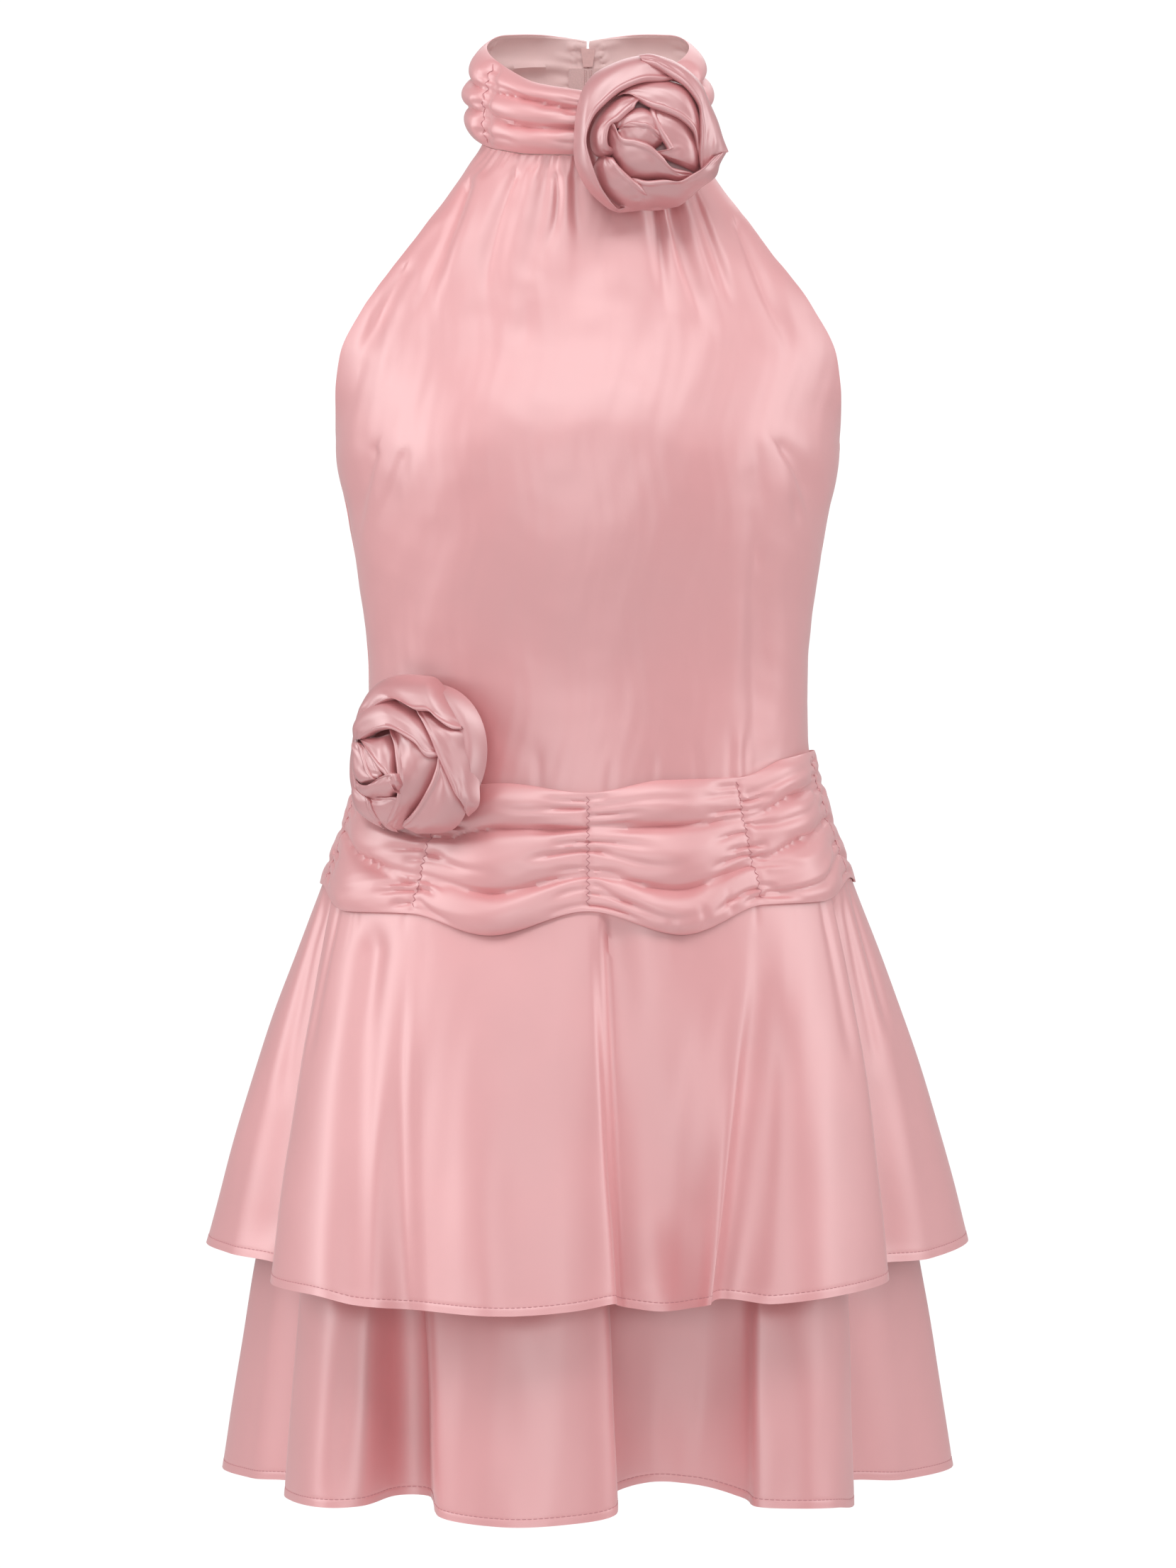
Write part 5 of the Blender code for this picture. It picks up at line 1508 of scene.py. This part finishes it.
def add_rose(name, rose, petals, seed, node):
    across, out, up = rose_frame(rose)
    centre = np.array(rose.centre)
    points = []
    faces = []
    count = 0
    grids = [(rose_base(rose), True)]
    for k, (label, stations) in enumerate(petals.items()):
        grids.append((petal_grid(stations, THIN_LIPS.get(label, LIP_RADIUS), seed + 3 * k), False))
    for grid, closed in grids:
        rows, columns = grid.shape[:2]
        points.append(grid.reshape(-1, 3))
        faces.append(quads(rows, columns, count, closed))
        count += rows * columns
    local = np.concatenate(points) * MM
    world = centre + local[:, :1] * across + local[:, 1:2] * up + local[:, 2:] * out
    # The petals take the darkened satin, whose colour holds painted shade.
    piece = new_piece(name, world, np.concatenate(faces), [rose_satin], local[:, :2])
    dress_piece(piece, "rose_satin", node)


# Zip

TAPE_HALF_WIDTH = 0.0118
TAPE_TOP_Z = 0.0458
TAPE_BOTTOM_Z = -0.4268
TAPE_INSET = 0.0022
TAPE_THICKNESS = 0.0007
TAPE_COLUMNS = 14
TAPE_ROWS = 150
COIL_X = 0.0016
COIL_RADIUS = 0.00055
COIL_PITCH = 0.0013
COIL_SIDES = 6
COIL_STEPS = 3
COIL_RIB = 0.28


def centre_back_y(x, z):
    """Depth of the dress's outer face near the centre back."""
    seam = COLLAR[-1].base
    v = np.clip((COLLAR[-1].top - z) / (COLLAR[-1].top - seam), 0, 1)
    deg = 180.0 - np.degrees(np.arcsin(np.abs(x) / COLLAR_TOP_BACK))
    on_collar = collar_surface(deg, v)[..., 1]
    half_width = curve(BODY, "z", "half_width", z)
    on_body = curve(BODY, "z", "back", z) * np.sqrt(1 - (x / half_width) ** 2)
    return lerp(on_body, on_collar, ease((z - seam + 0.003) / 0.006))


def add_zip_tape():
    """Woven tape behind the back opening, and the two rows of coil on its inner face."""
    places = np.linspace(TAPE_HALF_WIDTH, -TAPE_HALF_WIDTH, TAPE_COLUMNS)
    x, z = np.meshgrid(places, np.linspace(TAPE_TOP_Z, TAPE_BOTTOM_Z, TAPE_ROWS))
    face = stack(x, centre_back_y(x, z), z)
    outer = face - grid_normals(face, False) * TAPE_INSET
    piece = shell("zip_tape_cloth", outer, pair(x, z), [tape, tape], False, TAPE_THICKNESS)
    dress_piece(piece, "zip_tape", "zip_tape")
    levels = np.arange(TAPE_TOP_Z - 0.001, TAPE_BOTTOM_Z + 0.006, -COIL_PITCH / COIL_STEPS)
    turns = np.linspace(0, 2 * math.pi, COIL_SIDES, endpoint=False)
    height, turn = np.meshgrid(levels, turns, indexing="ij")
    ribs = np.sin(2 * math.pi * np.arange(len(levels)) / COIL_STEPS)
    ribbed = COIL_RADIUS * (1 + COIL_RIB * ribs)[:, None]
    coils = []
    faces = []
    for side in (-1, 1):
        centre = centre_back_y(side * COIL_X, height) - TAPE_INSET - TAPE_THICKNESS - 0.7 * COIL_RADIUS
        coil = stack(side * COIL_X + ribbed * np.cos(turn), centre + ribbed * np.sin(turn), height)
        faces.append(quads(*height.shape, sum(len(points) for points in coils), True)[:, ::-1])
        coils.append(coil.reshape(-1, 3))
    coil = new_piece("zip_coil", np.concatenate(coils), np.concatenate(faces), [tape])
    dress_piece(coil, "zip_tape")


# Studio

CAMERA_DISTANCE = 3.0
CAMERA_ELEVATION = 4.0
AIM = Vector((0.0, 0.0, -0.384))
PICTURE_HEIGHT = 0.9401
SENSOR = 36.0
FLOOR_Z = -1.35
FLOOR_HALF_WIDTH = 3.0
FLOOR_FRONT = -3.5
FLOOR_BACK = 1.8
FLOOR_POINTS = 12


def add_camera():
    data = bpy.data.cameras.new("camera")
    data.sensor_width = SENSOR
    data.lens = SENSOR * CAMERA_DISTANCE / PICTURE_HEIGHT
    camera = bpy.data.objects.new("camera", data)
    tilt = math.radians(CAMERA_ELEVATION)
    camera.location = AIM + CAMERA_DISTANCE * Vector((0, -math.cos(tilt), math.sin(tilt)))
    camera.rotation_euler = (AIM - camera.location).to_track_quat("-Z", "Y").to_euler()
    bpy.context.scene.collection.objects.link(camera)
    bpy.context.scene.camera = camera


Light = namedtuple("Light", "name place aim width height power")
LIGHTS = (
    Light("overhead_box", (0.0, -1.2, 1.8), (0.0, 0.0, -0.30), 2.6, 0.9, 28.0),
    Light("left_box", (-2.3, -0.3, 0.5), (0.0, 0.0, -0.40), 1.1, 2.0, 24.0),
    Light("right_box", (2.3, -0.2, 0.5), (0.0, 0.0, -0.40), 1.1, 2.0, 20.0),
    Light("front_box", (-0.2, -3.3, 0.1), (0.0, 0.0, -0.40), 1.5, 1.5, 21.0),
    Light("back_box", (0.3, 2.2, 1.4), (0.0, 0.0, -0.35), 2.0, 1.4, 17.0),
)

# Strength of the white world, as light on the dress and as the camera sees it
AMBIENT = 0.34
BACKGROUND = 1.05


def add_lights():
    for row in LIGHTS:
        data = bpy.data.lights.new(row.name, "AREA")
        data.shape = "RECTANGLE"
        data.size = row.width
        data.size_y = row.height
        data.energy = row.power
        lamp = bpy.data.objects.new(row.name, data)
        lamp.location = row.place
        lamp.rotation_euler = (Vector(row.aim) - lamp.location).to_track_quat("-Z", "Y").to_euler()
        bpy.context.scene.collection.objects.link(lamp)
    world = bpy.data.worlds.new("studio")
    world.use_nodes = True
    tree = world.node_tree
    shader = tree.nodes["Background"]
    set_inputs(shader, Color=(1.0, 1.0, 1.0, 1.0))
    path = add_node(tree, "ShaderNodeLightPath")
    level = add_node(tree, "ShaderNodeMapRange", To_Min=AMBIENT, To_Max=BACKGROUND)
    tree.links.new(path.outputs["Is Camera Ray"], level.inputs["Value"])
    tree.links.new(level.outputs["Result"], shader.inputs["Strength"])
    bpy.context.scene.world = world
    bpy.context.scene.view_settings.view_transform = "Standard"


def add_floor():
    """Plain pale floor below the dress."""
    depths = np.linspace(FLOOR_FRONT, FLOOR_BACK, FLOOR_POINTS)
    widths = np.linspace(-FLOOR_HALF_WIDTH, FLOOR_HALF_WIDTH, FLOOR_POINTS)
    y, x = np.meshgrid(depths, widths, indexing="ij")
    points = stack(x, y, FLOOR_Z)
    paper = plain_material("floor_paper", FLOOR, 0.9, 240.0, 0.02)
    faces = quads(FLOOR_POINTS, FLOOR_POINTS, 0, False)[:, ::-1]
    floor = new_piece("floor", points, faces, [paper])


def paint_node(node, material):
    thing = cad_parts[node]
    for place in thing.material_slots:
        place.material = material


def main():
    add_camera()
    add_lights()
    add_floor()
    add_front()
    add_back("back_left_cloth", 1, BACK_LEFT_CREASES, 41, "back_panel_left")
    add_back("back_right_cloth", -1, BACK_RIGHT_CREASES, 43, "back_panel_right")
    add_collar()
    add_band()
    add_tier(
        "upper_tier", UPPER_TIER, UPPER_FOLDS, UPPER_ROWS, TIER_SEED,
        ("skirt_upper_front", "skirt_upper_back"),
    )
    add_tier(
        "lower_tier", LOWER_TIER, UPPER_FOLDS + LOWER_FOLDS, LOWER_ROWS, TIER_SEED,
        ("skirt_lower_front", "skirt_lower_back"),
    )
    add_rose("neck_rose_petals", NECK_ROSE, NECK_PETALS, 81, "neck_rose")
    add_rose("hip_rose_petals", HIP_ROSE, HIP_PETALS, 121, "hip_rose")
    add_zip_tape()
    paint_node("zip_slider", enamel)
    paint_node("zip_pull", enamel)


main()
